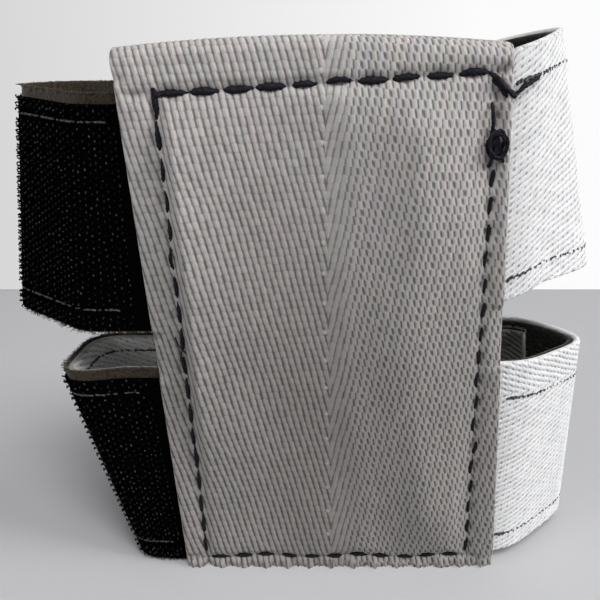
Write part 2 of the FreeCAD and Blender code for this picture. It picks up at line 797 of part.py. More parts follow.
# Thread on the panel
def make_seam(label, start, finish, length, width, pitch, seat):
    """A row of stitches from one (across, height) point to another, with their flat side at the seat.

    Each stitch is half a spindle. With no pitch there is one alone."""
    body = new_body(label)
    sketch = new_sketch(body, "thread", "XZ_Plane")
    radius = width / 2
    bulge = length * length / (radius * 8) + radius / 2
    stop = Vector(length.value, 0, 0)
    sketch.addGeometry(Part.LineSegment(Vector(0, 0, 0), stop), False)
    sketch.addGeometry(Part.Arc(stop, Vector(length.value / 2, radius.value, 0), Vector(0, 0, 0)), False)
    sketch.addConstraint([
        Sketcher.Constraint("Coincident", 0, 1, -1, 1),
        Sketcher.Constraint("Horizontal", 0),
        Sketcher.Constraint("Coincident", 0, 2, 1, 1),
        Sketcher.Constraint("Coincident", 1, 2, 0, 1),
    ])
    drive(sketch, Sketcher.Constraint("Distance", 0, length.value), length)
    drive(sketch, Sketcher.Constraint("Radius", 1, bulge.value), bulge)
    stitch = body.newObject("PartDesign::Revolution", body.Name + "_spindle")
    stitch.Profile = sketch
    stitch.ReferenceAxis = (sketch, ["H_Axis"])
    stitch.Angle = 180
    if pitch is not None:
        row = body.newObject("PartDesign::LinearPattern", body.Name + "_row")
        row.Originals = [stitch]
        row.Direction = (sketch, ["H_Axis"])
        row.Mode = "Spacing"
        across = finish[0] - start[0]
        up = finish[1] - start[1]
        distance = root(across * across + up * up).text
        count = "floor(%s / %s)" % (distance, pitch.text)
        row.setExpression("Offset", "%s / %s" % (distance, count))
        row.setExpression("Occurrences", count)
        body.Tip = row
    slope = heading(finish[1] - start[1], finish[0] - start[0])
    body.Placement = Placement(Vector(0, 0, 0), Rotation(Vector(0, 1, 0), 1))
    body.setExpression("Placement.Rotation.Angle", "-1 * " + slope.text)
    body.setExpression("Placement.Base.x", start[0].text)
    body.setExpression("Placement.Base.y", seat.text)
    body.setExpression("Placement.Base.z", start[1].text)
    return body


def side_seam_line(side, height):
    """Where a side seam is across the panel at a height."""
    outward_sign = -1 if side == "left" else 1
    return (size("panel_width") / 2 - seam_inset(side, height)) * outward_sign - panel_edge(height)


def top_seam_height(across):
    """The top seam's height at a place across, on the line that its heights at the two sides give."""
    slope = (size("top_seam_left") - size("top_seam_right")) / size("panel_width")
    middle = panel_height() - (size("top_seam_left") + size("top_seam_right")) / 2
    return middle + slope * across


def make_seams():
    """The thread round the panel: left, right, top and bottom rows, and the knot on the right."""
    gap = size("corner_gap")
    low = size("bottom_seam") + gap
    seam_top = panel_height() - size("top_seam_left") - gap
    knot_low = panel_height() - size("knot_drop") - size("knot_length") / 2
    knot_high = knot_low + size("knot_length")

    def seam_point(side, height):
        return side_seam_line(side, height), height

    make_row("left_seam_thread", seam_point("left", low), seam_point("left", seam_top), "stitch_pitch")
    make_row("right_seam_thread", seam_point("right", low), seam_point("right", knot_low), "stitch_pitch")
    knot_seat = size("seam_depth") - size("edge_round") - size("rivet_gap") * 2
    make_seam("thread_knot", seam_point("right", knot_low), seam_point("right", knot_high),
              size("knot_length"), size("knot_width"), None, knot_seat)
    left = side_seam_line("left", seam_top) + gap
    right = side_seam_line("right", seam_top) - gap
    make_row("top_seam_thread", (left, top_seam_height(left)), (right, top_seam_height(right)), "stitch_pitch")
    bottom = size("bottom_seam")
    left = side_seam_line("left", bottom) + gap
    right = side_seam_line("right", bottom) - gap
    make_row("bottom_seam_thread", (left, bottom), (right, bottom), "bottom_pitch")


def make_row(label, start, finish, pitch_name):
    length = size("stitch_length")
    make_seam(label, start, finish, length, size("stitch_width"), size(pitch_name), size("seam_depth"))


# Ground snap on the upper flap
def snap_place():
    """The snap sits in the middle of the flap's width, a little way in from its free end."""
    up = loop_base("upper") - size("upper_loop_fall") + size("strap_width") / 2
    return flap_end() + size("snap_inset"), up


def revolve_profile(label, corners):
    """A turned metal piece: a profile of (radius, along) corners, turned about an axis along Y."""
    body = new_body(label)
    sketch = new_sketch(body, "profile", "XY_Plane")
    draw_polygon(sketch, corners)
    turned = body.newObject("PartDesign::Revolution", body.Name + "_turned")
    turned.Profile = sketch
    turned.ReferenceAxis = (sketch, ["V_Axis"])
    turned.Angle = 360
    across, up = snap_place()
    body.setExpression("Placement.Base.x", across.text)
    body.setExpression("Placement.Base.y", back_of_loop().text)
    body.setExpression("Placement.Base.z", up.text)
    return body


def make_snap(flap_webbing, flap_lining):
    """The stud outside, the eyelet inside, and the holes that they pass through."""
    bore = size("eyelet_radius")
    hole = bore + size("rivet_gap")
    flange_top = size("snap_flange")
    neck_top = flange_top + size("snap_neck")
    head_top = neck_top + size("snap_head")
    crown_top = head_top + size("snap_crown")
    crown = size("snap_head_radius") - size("snap_crown")
    revolve_profile("ground_snap_stud", [
        (hole, as_size(0)), (size("snap_flange_radius"), as_size(0)), (size("snap_flange_radius"), flange_top / 2),
        (size("snap_neck_radius"), flange_top), (size("snap_neck_radius"), neck_top),
        (size("snap_head_radius"), neck_top + size("snap_crown")), (size("snap_head_radius"), head_top + size("snap_crown")),
        (crown, crown_top + size("snap_crown")), (hole, crown_top + size("snap_crown")),
    ])
    inside = -size("strap_thickness") + size("rivet_gap")
    flange = inside + size("eyelet_flange")
    axis = bore / 2
    revolve_profile("ground_snap_eyelet", [
        (axis, inside), (size("eyelet_flange_radius"), inside), (size("eyelet_flange_radius"), flange),
        (bore, flange), (bore, crown_top), (axis, crown_top),
    ])
    for body in (flap_webbing, flap_lining):
        sketch = new_sketch(body, "rivet_hole", "XZ_Plane")
        draw_hole(sketch, hole)
        symmetric_cut(body, sketch, body.Name + "_rivet_hole")
    recess = new_sketch(flap_lining, "recess", "XZ_Plane",
                        -(back_of_loop() + flange + size("rivet_gap")))
    draw_hole(recess, size("eyelet_flange_radius") + size("rivet_gap"))
    cut = flap_lining.newObject("PartDesign::Pocket", flap_lining.Name + "_recess")
    cut.Profile = recess
    cut.Type = "ThroughAll"
    cut.Reversed = True


def draw_hole(sketch, radius):
    across, up = snap_place()
    circle = Part.Circle(Vector(across.value, up.value, 0), Vector(0, 0, 1), radius.value)
    item = sketch.addGeometry(circle, False)
    hold_point(sketch, item, 3, across, up)
    drive(sketch, Sketcher.Constraint("Radius", item, radius.value), radius)


def check_and_write():
    """Stop on any failed object or shape, then write one file for each piece."""
    for item in doc.Objects:
        if "Invalid" in item.State or "Error" in item.State:
            raise RuntimeError("%s failed: %s" % (item.Name, item.State))
    os.makedirs("parts", exist_ok=True)
    bodies = [item for item in doc.Objects if item.TypeId == "PartDesign::Body"]
    for body in bodies:
        if body.Shape.isNull() or not body.Shape.isValid():
            raise RuntimeError("%s has no valid shape" % body.Label)
        print("%-28s %3d solids %10.1f mm3" % (body.Label, len(body.Shape.Solids), body.Shape.Volume))
    for body in bodies:
        body.Shape.exportStep("parts/%s.step" % body.Label)
    box = Part.makeCompound([body.Shape for body in bodies]).BoundBox
    print("overall", round(box.XMin, 2), round(box.YMin, 2), round(box.ZMin, 2),
          round(box.XMax, 2), round(box.YMax, 2), round(box.ZMax, 2))


doc = FreeCAD.newDocument("wrist_strap")
sheet = doc.addObject("Spreadsheet::Sheet", "Sizes")
make_sheet()
make_panel()
make_seams()
for band_name in ("upper", "lower"):
    make_hook_strap(band_name)
loops = {band_name: make_loop_strap(band_name) for band_name in ("upper", "lower")}
make_snap(loops["upper"]["flap_webbing"], loops["upper"]["flap_lining"])
doc.recompute()
check_and_write()
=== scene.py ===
import json
import math

import bpy
import numpy as np
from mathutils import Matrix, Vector


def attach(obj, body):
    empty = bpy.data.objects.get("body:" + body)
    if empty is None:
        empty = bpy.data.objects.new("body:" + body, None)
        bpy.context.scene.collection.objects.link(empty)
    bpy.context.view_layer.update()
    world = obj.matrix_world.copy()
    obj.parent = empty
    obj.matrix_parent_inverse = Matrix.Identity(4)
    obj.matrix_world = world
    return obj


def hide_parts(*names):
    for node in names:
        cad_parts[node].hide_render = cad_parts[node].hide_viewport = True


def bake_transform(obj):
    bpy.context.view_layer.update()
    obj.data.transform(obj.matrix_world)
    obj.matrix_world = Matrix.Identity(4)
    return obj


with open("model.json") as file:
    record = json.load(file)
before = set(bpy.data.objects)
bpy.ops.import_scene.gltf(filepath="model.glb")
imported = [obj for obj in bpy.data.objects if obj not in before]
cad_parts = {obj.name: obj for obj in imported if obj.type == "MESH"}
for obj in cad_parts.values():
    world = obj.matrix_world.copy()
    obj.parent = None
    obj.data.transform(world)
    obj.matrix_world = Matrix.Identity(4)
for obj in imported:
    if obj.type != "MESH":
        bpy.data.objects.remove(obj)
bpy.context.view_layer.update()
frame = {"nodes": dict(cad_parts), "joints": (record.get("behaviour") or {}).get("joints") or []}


# Camera and room. The camera looks down at the panel from just left of its middle, as in the photograph. The
# strap stands on a plain pale tabletop in a pale room that is brighter on the window side. A window lamp on
# the right and a ceiling lamp light it, with weak light from the left and all round.
CAMERA_PLACE = (-0.0066, -0.0904, 0.0823)
CAMERA_DIP = 21.5
STRAP_MIDDLE = (0, 0.01, 0.04)

scene = bpy.context.scene
scene.view_settings.view_transform = "Standard"
camera = bpy.data.objects.new("camera", bpy.data.cameras.new("camera"))
scene.collection.objects.link(camera)
camera.location = CAMERA_PLACE
camera.rotation_euler = (math.radians(90 - CAMERA_DIP), 0, 0)
camera.data.lens = 42
camera.data.sensor_width = 36
camera.data.clip_start = 0.005
scene.camera = camera


def hang_lamp(name, place, width, watts, spread):
    """A soft square lamp that points at the strap and lights a cone as wide as the spread, in degrees."""
    lamp = bpy.data.lights.new(name, "AREA")
    lamp.shape = "SQUARE"
    lamp.size = width
    lamp.energy = watts
    lamp.spread = math.radians(spread)
    fixture = bpy.data.objects.new(name, lamp)
    scene.collection.objects.link(fixture)
    fixture.location = place
    aim = Vector(STRAP_MIDDLE) - Vector(place)
    fixture.rotation_euler = aim.to_track_quat("-Z", "Y").to_euler()


hang_lamp("window_lamp", (0.90, -0.20, 0.45), width=0.45, watts=1.40, spread=60)
hang_lamp("room_lamp", (-0.85, -0.45, 0.30), width=0.6, watts=0.60, spread=80)
hang_lamp("ceiling_lamp", (0.10, -0.40, 0.80), width=0.35, watts=5.8, spread=180)


def seen_directly(tree):
    """1 for a ray from the camera, or one that metal reflects or glass lets through, and 0 otherwise."""
    rays = tree.nodes.new("ShaderNodeLightPath")
    total = rays.outputs["Is Camera Ray"]
    for kind in ("Is Glossy Ray", "Is Transmission Ray"):
        either = tree.nodes.new("ShaderNodeMath")
        either.operation = "MAXIMUM"
        tree.links.new(total, either.inputs[0])
        tree.links.new(rays.outputs[kind], either.inputs[1])
        total = either.outputs[0]
    return total


# The room's light on the strap, how bright the room looks on its dim and on its bright side, and the sideways
# directions where those two begin.
ROOM_LIGHT = 0.24
ROOM_DIM, ROOM_BRIGHT = 0.66, 0.97
DIM_SIDE, BRIGHT_SIDE = -0.425, 0.23

room = bpy.data.worlds.new("sky")
scene.world = room
room.use_nodes = True
tree = room.node_tree
direction = tree.nodes.new("ShaderNodeTexCoord")
split = tree.nodes.new("ShaderNodeSeparateXYZ")
tree.links.new(direction.outputs["Generated"], split.inputs[0])
sideways = tree.nodes.new("ShaderNodeMapRange")
tree.links.new(split.outputs["X"], sideways.inputs["Value"])
for socket, value in (("From Min", DIM_SIDE), ("From Max", BRIGHT_SIDE),
                      ("To Min", ROOM_DIM), ("To Max", ROOM_BRIGHT)):
    sideways.inputs[socket].default_value = value
strength = tree.nodes.new("ShaderNodeMapRange")
strength.inputs["To Min"].default_value = ROOM_LIGHT
tree.links.new(seen_directly(tree), strength.inputs["Value"])
tree.links.new(sideways.outputs["Result"], strength.inputs["To Max"])
background = tree.nodes["Background"]
background.inputs["Color"].default_value = (1, 1, 1, 1)
tree.links.new(strength.outputs["Result"], background.inputs["Strength"])

TABLE_WIDTH = 2.4
TABLE_FRONT = -0.9
TABLE_BACK = 0.126
TABLE_EDGE = 0.012
TABLE_DEEP = 0.04
EDGE_STEPS = 8

profile = [(TABLE_FRONT, 0.0)]
for step in range(EDGE_STEPS + 1):
    turn = math.radians(90 * step / EDGE_STEPS)
    profile.append((TABLE_BACK + TABLE_EDGE * math.sin(turn), TABLE_EDGE * (math.cos(turn) - 1)))
profile.append((TABLE_BACK + TABLE_EDGE, -TABLE_DEEP))
corners = [(side * TABLE_WIDTH / 2, y, z) for side in (-1, 1) for y, z in profile]
count = len(profile)
mesh = bpy.data.meshes.new("tabletop")
mesh.from_pydata(corners, [], [(i + count, i + 1 + count, i + 1, i) for i in range(count - 1)])
mesh.shade_smooth()
tabletop = bpy.data.objects.new("tabletop", mesh)
scene.collection.objects.link(tabletop)
table_paint = bpy.data.materials.new("tabletop")
table_paint.use_nodes = True
mesh.materials.append(table_paint)
table_shader = table_paint.node_tree.nodes["Principled BSDF"]
table_shader.inputs["Base Color"].default_value = (0.42, 0.42, 0.435, 1)
table_shader.inputs["Roughness"].default_value = 0.8
table_shader.inputs["Specular IOR Level"].default_value = 0.05


# Front panel. One length of 50 mm herringbone webbing, woven from thick grey yarn, is folded double at its
# top. A running stitch goes all round it and catches the four straps between its two layers. Its lower edges
# are cut and fray a little, and the cloth between the seams stands up in a soft cushion.
MM = 0.001
PANEL_WIDTH = 50.0
PANEL_HEIGHT = 79.7
PANEL_ARCH = 1.7
PANEL_LEAN = 5.2
PANEL_THICKNESS = 4.3
CLOTH_THICKNESS = 1.2
FOLD_RADIUS = PANEL_THICKNESS / 2
HALF_WIDTH = PANEL_WIDTH / 2
SEAM_DEPTH = 0.45


class Field:
    """A number that a material works out at each point of a surface: the output of a node."""

    def __init__(self, tree, socket):
        self.tree = tree
        self.socket = socket

    def __add__(self, other):
        return math_node(self.tree, "ADD", self, other)

    def __sub__(self, other):
        return math_node(self.tree, "SUBTRACT", self, other)

    def __mul__(self, other):
        return math_node(self.tree, "MULTIPLY", self, other)

    def __truediv__(self, other):
        return math_node(self.tree, "DIVIDE", self, other)

    def __rsub__(self, other):
        return math_node(self.tree, "SUBTRACT", other, self)

    def __neg__(self):
        return math_node(self.tree, "MULTIPLY", self, -1.0)


def math_node(tree, operation, *values):
    node = tree.nodes.new("ShaderNodeMath")
    node.operation = operation
    for socket, value in zip(node.inputs, values):
        if isinstance(value, Field):
            tree.links.new(value.socket, socket)
        else:
            socket.default_value = value
    return Field(tree, node.outputs[0])


def either_way(operation, on_array):
    """The weave is written once: with arrays it shapes the mesh, and with fields it colours the material."""
    def work(x, *others):
        return math_node(x.tree, operation, x, *others) if isinstance(x, Field) else on_array(x, *others)
    return work


sine = either_way("SINE", np.sin)
floor_of = either_way("FLOOR", np.floor)
absolute = either_way("ABSOLUTE", np.abs)
at_least = either_way("MAXIMUM", np.maximum)
at_most = either_way("MINIMUM", np.minimum)
powered = either_way("POWER", np.power)


def ramp(x, low, high):
    """0 below low and 1 above high, with a smooth rise between them."""
    share = at_most(at_least((x - low) / (high - low), 0.0), 1.0)
    return share * share * (3.0 - share * 2.0)


def herringbone(across, along, pitch, lean, float_length, beaded=0.0):
    """Yarn floats in ribs that lean away from the line across = 0: height from 0 to 1, rib and float number.

    On the side below 0 the ribs run through. On the other side they soon break up into beads, one for each
    float, with a dark slanting slit between neighbours. Beaded cloth is like that on both sides."""
    sway = sine(along * 0.31) * 0.07 + sine(along * 0.83 + across * 0.45) * 0.03
    right = ramp(across, -0.3, 0.3) * (1.0 - beaded)
    broken = right * ramp(across, 0.6, 5.0) + beaded
    straight = (absolute(across + sway) - along * lean) / pitch
    step = along / float_length + straight * 0.03 + sine(floor_of(straight) * 2.7) * 0.08
    number = floor_of(step)
    share = step - number
    wander = sine(number * 1.9 + floor_of(straight) * 4.1) * 0.05
    line = straight + wander + broken * (share - 0.5) * (0.48 - beaded * 0.33)
    rib = floor_of(line)
    rib_middle = at_least(sine((line - rib) * math.pi), 0.0)
    middle = at_least(sine(share * math.pi), 0.0)
    float_round = powered(middle, 0.6)
    through = 1.0 - (1.0 - powered(rib_middle, 0.7) * (float_round * 0.34 + 0.66)) * (1.0 - right * 0.25)
    opening = ramp(middle, 0.2 + 0.5 * beaded, 0.9 + 0.1 * beaded)
    open_here = opening * (0.46 + 0.54 * beaded) + 0.54 * (1.0 - beaded)
    slit = (1.0 - powered(rib_middle, 0.8 + 0.5 * beaded)) * open_here
    float_ends = (1.0 - float_round) * (0.10 + 0.22 * beaded)
    edges = float_ends + (1.0 - powered(rib_middle, 0.6)) * (0.30 + 0.15 * beaded)
    dotted = 1.0 - slit * (0.84 - 0.20 * beaded) - edges
    return through * (1.0 - broken) + dotted * broken, rib, number


PANEL_PITCH = 0.90
PANEL_RIB_LEAN = 0.23
PANEL_FLOAT = 1.08
NUB_SPACING = 4.4
NUB_LENGTH, NUB_WIDTH = 0.42, 0.36
NUB_BESIDE_LINE = 0.55
LINE_AT_TOP, LINE_SKEW = 1.6, 3.0


def panel_weave(across, along):
    """The panel's herringbone, with a small nub of yarn at every turn of its middle line."""
    rise, rib, number = herringbone(across, along, PANEL_PITCH, PANEL_RIB_LEAN, PANEL_FLOAT)
    turn = along / NUB_SPACING
    off = (turn - floor_of(turn) - 0.5) * NUB_SPACING / NUB_LENGTH
    aside = (across + NUB_BESIDE_LINE) / NUB_WIDTH
    nub = at_least(1.0 - off * off - aside * aside, 0.0)
    return at_least(rise, powered(nub, 0.5) * 1.15), rib, number, nub


def reversal(along):
    """Where the herringbone turns over, from the leaning panel's middle: the cloth is sewn a little askew."""
    return LINE_AT_TOP - LINE_SKEW * (PANEL_HEIGHT - along) / PANEL_HEIGHT


# How far inside the panel's edge each side seam runs at the bottom, and how far to the right it is at the top
SIDE_SEAMS = {"left": (3.4, 1.6), "right": (4.5, 2.6)}
TOP_SEAM_INSET = 4.3
TOP_SEAM_RISE = 5.9 - 2.7
BOTTOM_SEAM = 1.8
BOTTOM_WANDER = 0.28


def seam_place(side, along):
    """How far from the leaning panel's middle a side seam runs at this height."""
    inset, shift = SIDE_SEAMS[side]
    foot = -HALF_WIDTH + inset if side == "left" else HALF_WIDTH - inset
    return foot + shift * (along / PANEL_HEIGHT)


def top_seam(across):
    return PANEL_HEIGHT - TOP_SEAM_INSET + TOP_SEAM_RISE * across / PANEL_WIDTH


def bottom_seam(across):
    return BOTTOM_SEAM + BOTTOM_WANDER * np.sin(across * 0.42 + 0.5)


def panel_top(across):
    """The fold arches, and its right end stands a little higher than its left."""
    share = across / HALF_WIDTH
    return PANEL_HEIGHT + 0.75 * PANEL_ARCH * (1 - share ** 2) + 0.28 * (1 + share)


def panel_point(across, along, depth):
    """A point of the panel: across from its middle, along its front and over the fold, deep in the cloth."""
    spring = panel_top(across) - FOLD_RADIUS
    over = np.clip((along - spring) / FOLD_RADIUS, 0, math.pi)
    behind = np.maximum(along - spring - FOLD_RADIUS * math.pi, 0)
    radius = FOLD_RADIUS - depth
    y = FOLD_RADIUS - radius * np.cos(over)
    z = np.minimum(along, spring) + radius * np.sin(over) - behind
    x = across - PANEL_LEAN * z / PANEL_HEIGHT
    return np.stack([x, y, z], -1)


def groove(distance, width):
    """1 in the middle of a soft groove or ridge, and near 0 outside its width."""
    return np.exp(-((distance / width) ** 2))


STITCH_LENGTH = 3.0
STITCH_PITCH = 4.0
RIGHT_PITCH = 3.6
BOTTOM_PITCH = 3.6
SEAM_LOW = BOTTOM_SEAM + 0.5
SEAM_HIGH = PANEL_HEIGHT - 6.4
KNOT_HEIGHT = 68.0
TOP_ENDS = (seam_place("left", SEAM_HIGH) + 0.5, seam_place("right", SEAM_HIGH) - 0.5)
BOTTOM_ENDS = (seam_place("left", BOTTOM_SEAM) + 0.5, seam_place("right", BOTTOM_SEAM) - 0.5)
# Each seam's first and last place, and how far apart its stitches are
SEAMS = {
    "left": (SEAM_LOW, SEAM_HIGH + 1.6, STITCH_PITCH),
    "right": (SEAM_LOW, KNOT_HEIGHT - 2.2, RIGHT_PITCH),
    "top": (*TOP_ENDS, STITCH_PITCH),
    "bottom": (*BOTTOM_ENDS, BOTTOM_PITCH),
}
# How far the cushion and the strips outside the seams stand up, and how deep the stitches pull the cloth in
CUSHION_RISE = 0.62
STRIP_RISE = 0.66
PULL_DEPTH = 0.55
EDGE_ROLL = 0.9


def held_down(place, low, high, pitch):
    """1 under the middle of each stitch of a seam from low to high, and 0 halfway between two stitches."""
    spacing = (high - low) / math.floor((high - low) / pitch)
    return 0.5 + 0.5 * np.cos(2 * math.pi * (place - low - STITCH_LENGTH / 2) / spacing)


def panel_swell(across, height):
    """How far the panel stands out in front of its seams: cushion, edge strips and the stitches' pull."""
    left = across - seam_place("left", height)
    right = seam_place("right", height) - across
    top = top_seam(across) - height
    bottom = height - bottom_seam(across)
    inside = np.minimum(np.minimum(left, right * 0.6), np.minimum(top, bottom))
    cushion = CUSHION_RISE * (1 - np.exp(-np.maximum(inside, 0) / 0.9))
    wander = 0.9 * np.sin(height * 0.11 + 0.6)
    ridges = 2.5 * np.exp(-np.maximum(left - 1.2, 0) / (5.5 + wander)) * ramp(height, 4.0, 36.0)
    ridges = ridges + 1.55 * groove(across - 12.0 - wander, 6.4)
    creases = 0.30 * groove(across - 8.0, 1.6) * ramp(-height, -13.0, -3.0)
    creases = creases - 0.34 * groove(across - 3.5 - wander, 2.2)
    step = 0.19 + 0.16 * np.cos(2 * math.pi * (height - 62.0) / 50.0)
    ridges = ridges + step * np.tanh((across - 11.0 - wander) / 1.2)
    dent = 0.16 * np.sin(across * 0.33 + height * 0.09 + 1.0) * np.sin(height * 0.17 + 0.4)
    waves = (ridges * ramp(height, 0.0, 12.0) * ramp(top, 0.0, 7.0) - creases + dent) * ramp(inside, 0.0, 2.2)
    strip = STRIP_RISE * (1 - np.exp(np.minimum(inside, 0) / 0.8))
    sides = ramp(top, -1.0, 0.5)
    pull = groove(left, 0.85) * sides * (0.25 + 0.75 * held_down(height, *SEAMS["left"]))
    pull = pull + groove(right, 0.80) * sides * (0.15 + 0.85 * held_down(height, *SEAMS["right"]))
    pull = pull + groove(top, 0.75) * (0.05 + 0.95 * held_down(across, *SEAMS["top"]))
    pull = pull + groove(bottom, 0.65) * (0.10 + 0.90 * held_down(across, *SEAMS["bottom"]))
    return cushion + waves + strip - PULL_DEPTH * np.minimum(pull, 1.1)


def panel_edges(across, height, has_strap):
    """Rounded sides, which close on each other where no strap lies between the layers."""
    near = HALF_WIDTH - np.abs(across)
    roll = (EDGE_ROLL - np.minimum(near, EDGE_ROLL)) / EDGE_ROLL
    rolled = 0.55 * (1 - np.sqrt(np.clip(1 - roll ** 2, 0, 1)))
    return rolled + 0.7 * (1 - has_strap) * ramp(-near, -2.6, -0.2)


def strap_between(across, height):
    """1 where a strap lies between the layers at this side of the panel, and 0 in the gaps."""
    left = ramp(-height, -34.5, -33.5) + ramp(height, 41.0, 42.0) * ramp(-height, -76.0, -75.0)
    right = ramp(height, 1.6, 2.4) * ramp(-height, -36.4, -35.6) + ramp(height, 45.0, 46.0)
    return np.where(across < 0, np.minimum(left, 1), np.minimum(right, 1))


def make_piece(name, part, material, replaced=()):
    """A smooth mesh from a part: points in mm, lists of faces, and each point's flat place on the cloth."""
    points, faces, weave = part
    points = np.asarray(points, float).reshape(-1, 3)
    fans = [face[:, [0, i, i + 1]] for face in faces for i in range(1, face.shape[1] - 1)]
    fan = np.concatenate(fans)
    volume = np.einsum("ij,ij->", points[fan[:, 0]], np.cross(points[fan[:, 1]], points[fan[:, 2]]))
    if volume < 0:
        faces = [face[:, ::-1] for face in faces]
    corners = np.concatenate([face.ravel() for face in faces]).astype(np.int32)
    sizes = np.concatenate([np.full(len(face), face.shape[1]) for face in faces])
    starts = np.concatenate([[0], np.cumsum(sizes)[:-1]]).astype(np.int32)
    mesh = bpy.data.meshes.new(name)
    mesh.vertices.add(len(points))
    mesh.vertices.foreach_set("co", (points * MM).astype(np.float32).ravel())
    mesh.loops.add(len(corners))
    mesh.loops.foreach_set("vertex_index", corners)
    mesh.polygons.add(len(starts))
    mesh.polygons.foreach_set("loop_start", starts)
    mesh.update(calc_edges=True)
    mesh.shade_smooth()
    layer = mesh.attributes.new("weave", "FLOAT_VECTOR", "POINT")
    layer.data.foreach_set("vector", np.asarray(weave, np.float32).ravel())
    mesh.materials.append(material)
    piece = bpy.data.objects.new(name, mesh)
    scene.collection.objects.link(piece)
    if replaced:
        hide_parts(*replaced)
    return piece


def ring_faces(rings, around):
    """Faces of rings of points joined one to the next, and closed at both ends."""
    row = np.arange(rings - 1)[:, None] * around
    column = np.arange(around)[None, :]
    after = (column + 1) % around
    sides = np.stack([row + column, row + after, row + after + around, row + column + around], -1)
    start = column[:, ::-1]
    end = column + (rings - 1) * around
    return [sides.reshape(-1, 4), start, end]


def cloth_ring(width, thickness, fine, coarse, corner):
    """Round a flat cloth's cross-section: place across, depth from its outer face, and 1 on that face."""
    face = np.linspace(corner, width - corner, max(2, round((width - 2 * corner) / fine)))
    back = np.linspace(width - corner, corner, max(2, round((width - 2 * corner) / coarse)))
    turns = np.radians([30, 60, 90, 120, 150])
    bulge = corner * np.sin(turns)
    depth = thickness / 2 * (1 - np.cos(turns))
    across = np.concatenate([face, width - corner + bulge, back, corner - bulge])
    deep = np.concatenate([face * 0, depth, back * 0 + thickness, depth[::-1]])
    outer = np.concatenate([face * 0 + 1, np.cos(turns) * 0.5 + 0.5,
                            back * 0, np.cos(turns[::-1]) * 0.5 + 0.5])
    return across, deep, outer


# The front and the fold have close rows of points, and the back wider ones.
CLOSE_ROWS = 86
WEAVE_DEPTH = 0.15
fine = 0.17
ring, depth, outer = cloth_ring(PANEL_WIDTH, CLOTH_THICKNESS, fine, 1.5, 0.3)
length = 2 * (PANEL_HEIGHT - FOLD_RADIUS) + math.pi * FOLD_RADIUS
front_rows = np.arange(0, CLOSE_ROWS, fine)
back_rows = np.linspace(CLOSE_ROWS, length, 330)
along, across = np.meshgrid(np.concatenate([front_rows, back_rows]), ring - HALF_WIDTH, indexing="ij")
depth = np.broadcast_to(depth, across.shape)
outer = np.broadcast_to(outer, across.shape)
rise = panel_weave(across - reversal(along), along)[0]
behind = ramp(along, panel_top(across), panel_top(across) + 4.0)
height = np.minimum(along, length - along)
swell = panel_swell(across, height)
on_fold = ramp(height, top_seam(across) + 1.0, top_seam(across) + 4.0)
swell = swell * (1 - behind) + behind * (0.25 * swell + 0.15)
swell = swell * (1 - on_fold) - 0.10 * on_fold
edge = panel_edges(across, height, strap_between(across, height)) * (1 - on_fold)
frayed = ramp(-height, -BOTTOM_SEAM, 0.0)
torn = (0.26 * np.cos(2 * math.pi * (across - BOTTOM_ENDS[0] - 1.6) / BOTTOM_PITCH)
        + 0.30 * np.sin(across * 5.3) * np.sin(across * 1.7 + 0.8) + 0.12 * np.sin(across * 11.0 + 2.0))
moved = SEAM_DEPTH * (1 - behind) * (1 - on_fold) + edge - (swell + frayed * torn) * outer
deep = depth + moved * (0.35 + 0.65 * outer) - WEAVE_DEPTH * (rise - 0.7) * outer
weave = np.stack([across - reversal(along), along, outer], -1)
panel_part = (panel_point(across, along, deep), ring_faces(*across.shape), weave)


def paint(name, roughness, sheen=0.0):
    """A new material, its tree and shader, and the cloth's flat places as three fields."""
    material = bpy.data.materials.new(name)
    material.use_nodes = True
    tree = material.node_tree
    shader = tree.nodes["Principled BSDF"]
    shader.inputs["Roughness"].default_value = roughness
    shader.inputs["Specular IOR Level"].default_value = 0.3
    shader.inputs["Sheen Weight"].default_value = sheen
    shader.inputs["Sheen Roughness"].default_value = 0.4
    place = tree.nodes.new("ShaderNodeAttribute")
    place.attribute_name = "weave"
    split = tree.nodes.new("ShaderNodeSeparateXYZ")
    tree.links.new(place.outputs["Vector"], split.inputs[0])
    return material, tree, shader, [Field(tree, socket) for socket in split.outputs]


def triple(tree, *values):
    """Three fields or numbers as one vector."""
    node = tree.nodes.new("ShaderNodeCombineXYZ")
    for socket, value in zip(node.inputs, values):
        if isinstance(value, Field):
            tree.links.new(value.socket, socket)
        else:
            socket.default_value = value
    return node.outputs[0]


def speckle(tree, vector, scale, detail=2.0):
    """Cloudy noise between 0 and 1."""
    node = tree.nodes.new("ShaderNodeTexNoise")
    node.inputs["Scale"].default_value = scale
    node.inputs["Detail"].default_value = detail
    tree.links.new(vector, node.inputs["Vector"])
    return Field(tree, node.outputs["Factor" if "Factor" in node.outputs else "Fac"])


def chance(tree, vector):
    """A random number and a random colour, one for each whole place."""
    node = tree.nodes.new("ShaderNodeTexWhiteNoise")
    tree.links.new(vector, node.inputs["Vector"])
    return Field(tree, node.outputs["Value"]), node.outputs["Color"]


def mixed(tree, share, first, second):
    """A colour between two colours or colour outputs."""
    node = tree.nodes.new("ShaderNodeMix")
    node.data_type = "RGBA"
    for socket, value in ((node.inputs[0], share), (node.inputs[6], first), (node.inputs[7], second)):
        if isinstance(value, Field):
            tree.links.new(value.socket, socket)
        elif isinstance(value, bpy.types.NodeSocket):
            tree.links.new(value, socket)
        else:
            socket.default_value = (*value, 1) if isinstance(value, tuple) else value
    return node.outputs[2]


def finish_paint(tree, shader, colour, bump, bump_height):
    """Join colour and bump to the shader. The bump's height is in mm."""
    tree.links.new(colour, shader.inputs["Base Color"])
    node = tree.nodes.new("ShaderNodeBump")
    node.inputs["Distance"].default_value = bump_height * MM
    tree.links.new(bump.socket, node.inputs["Height"])
    tree.links.new(node.outputs[0], shader.inputs["Normal"])


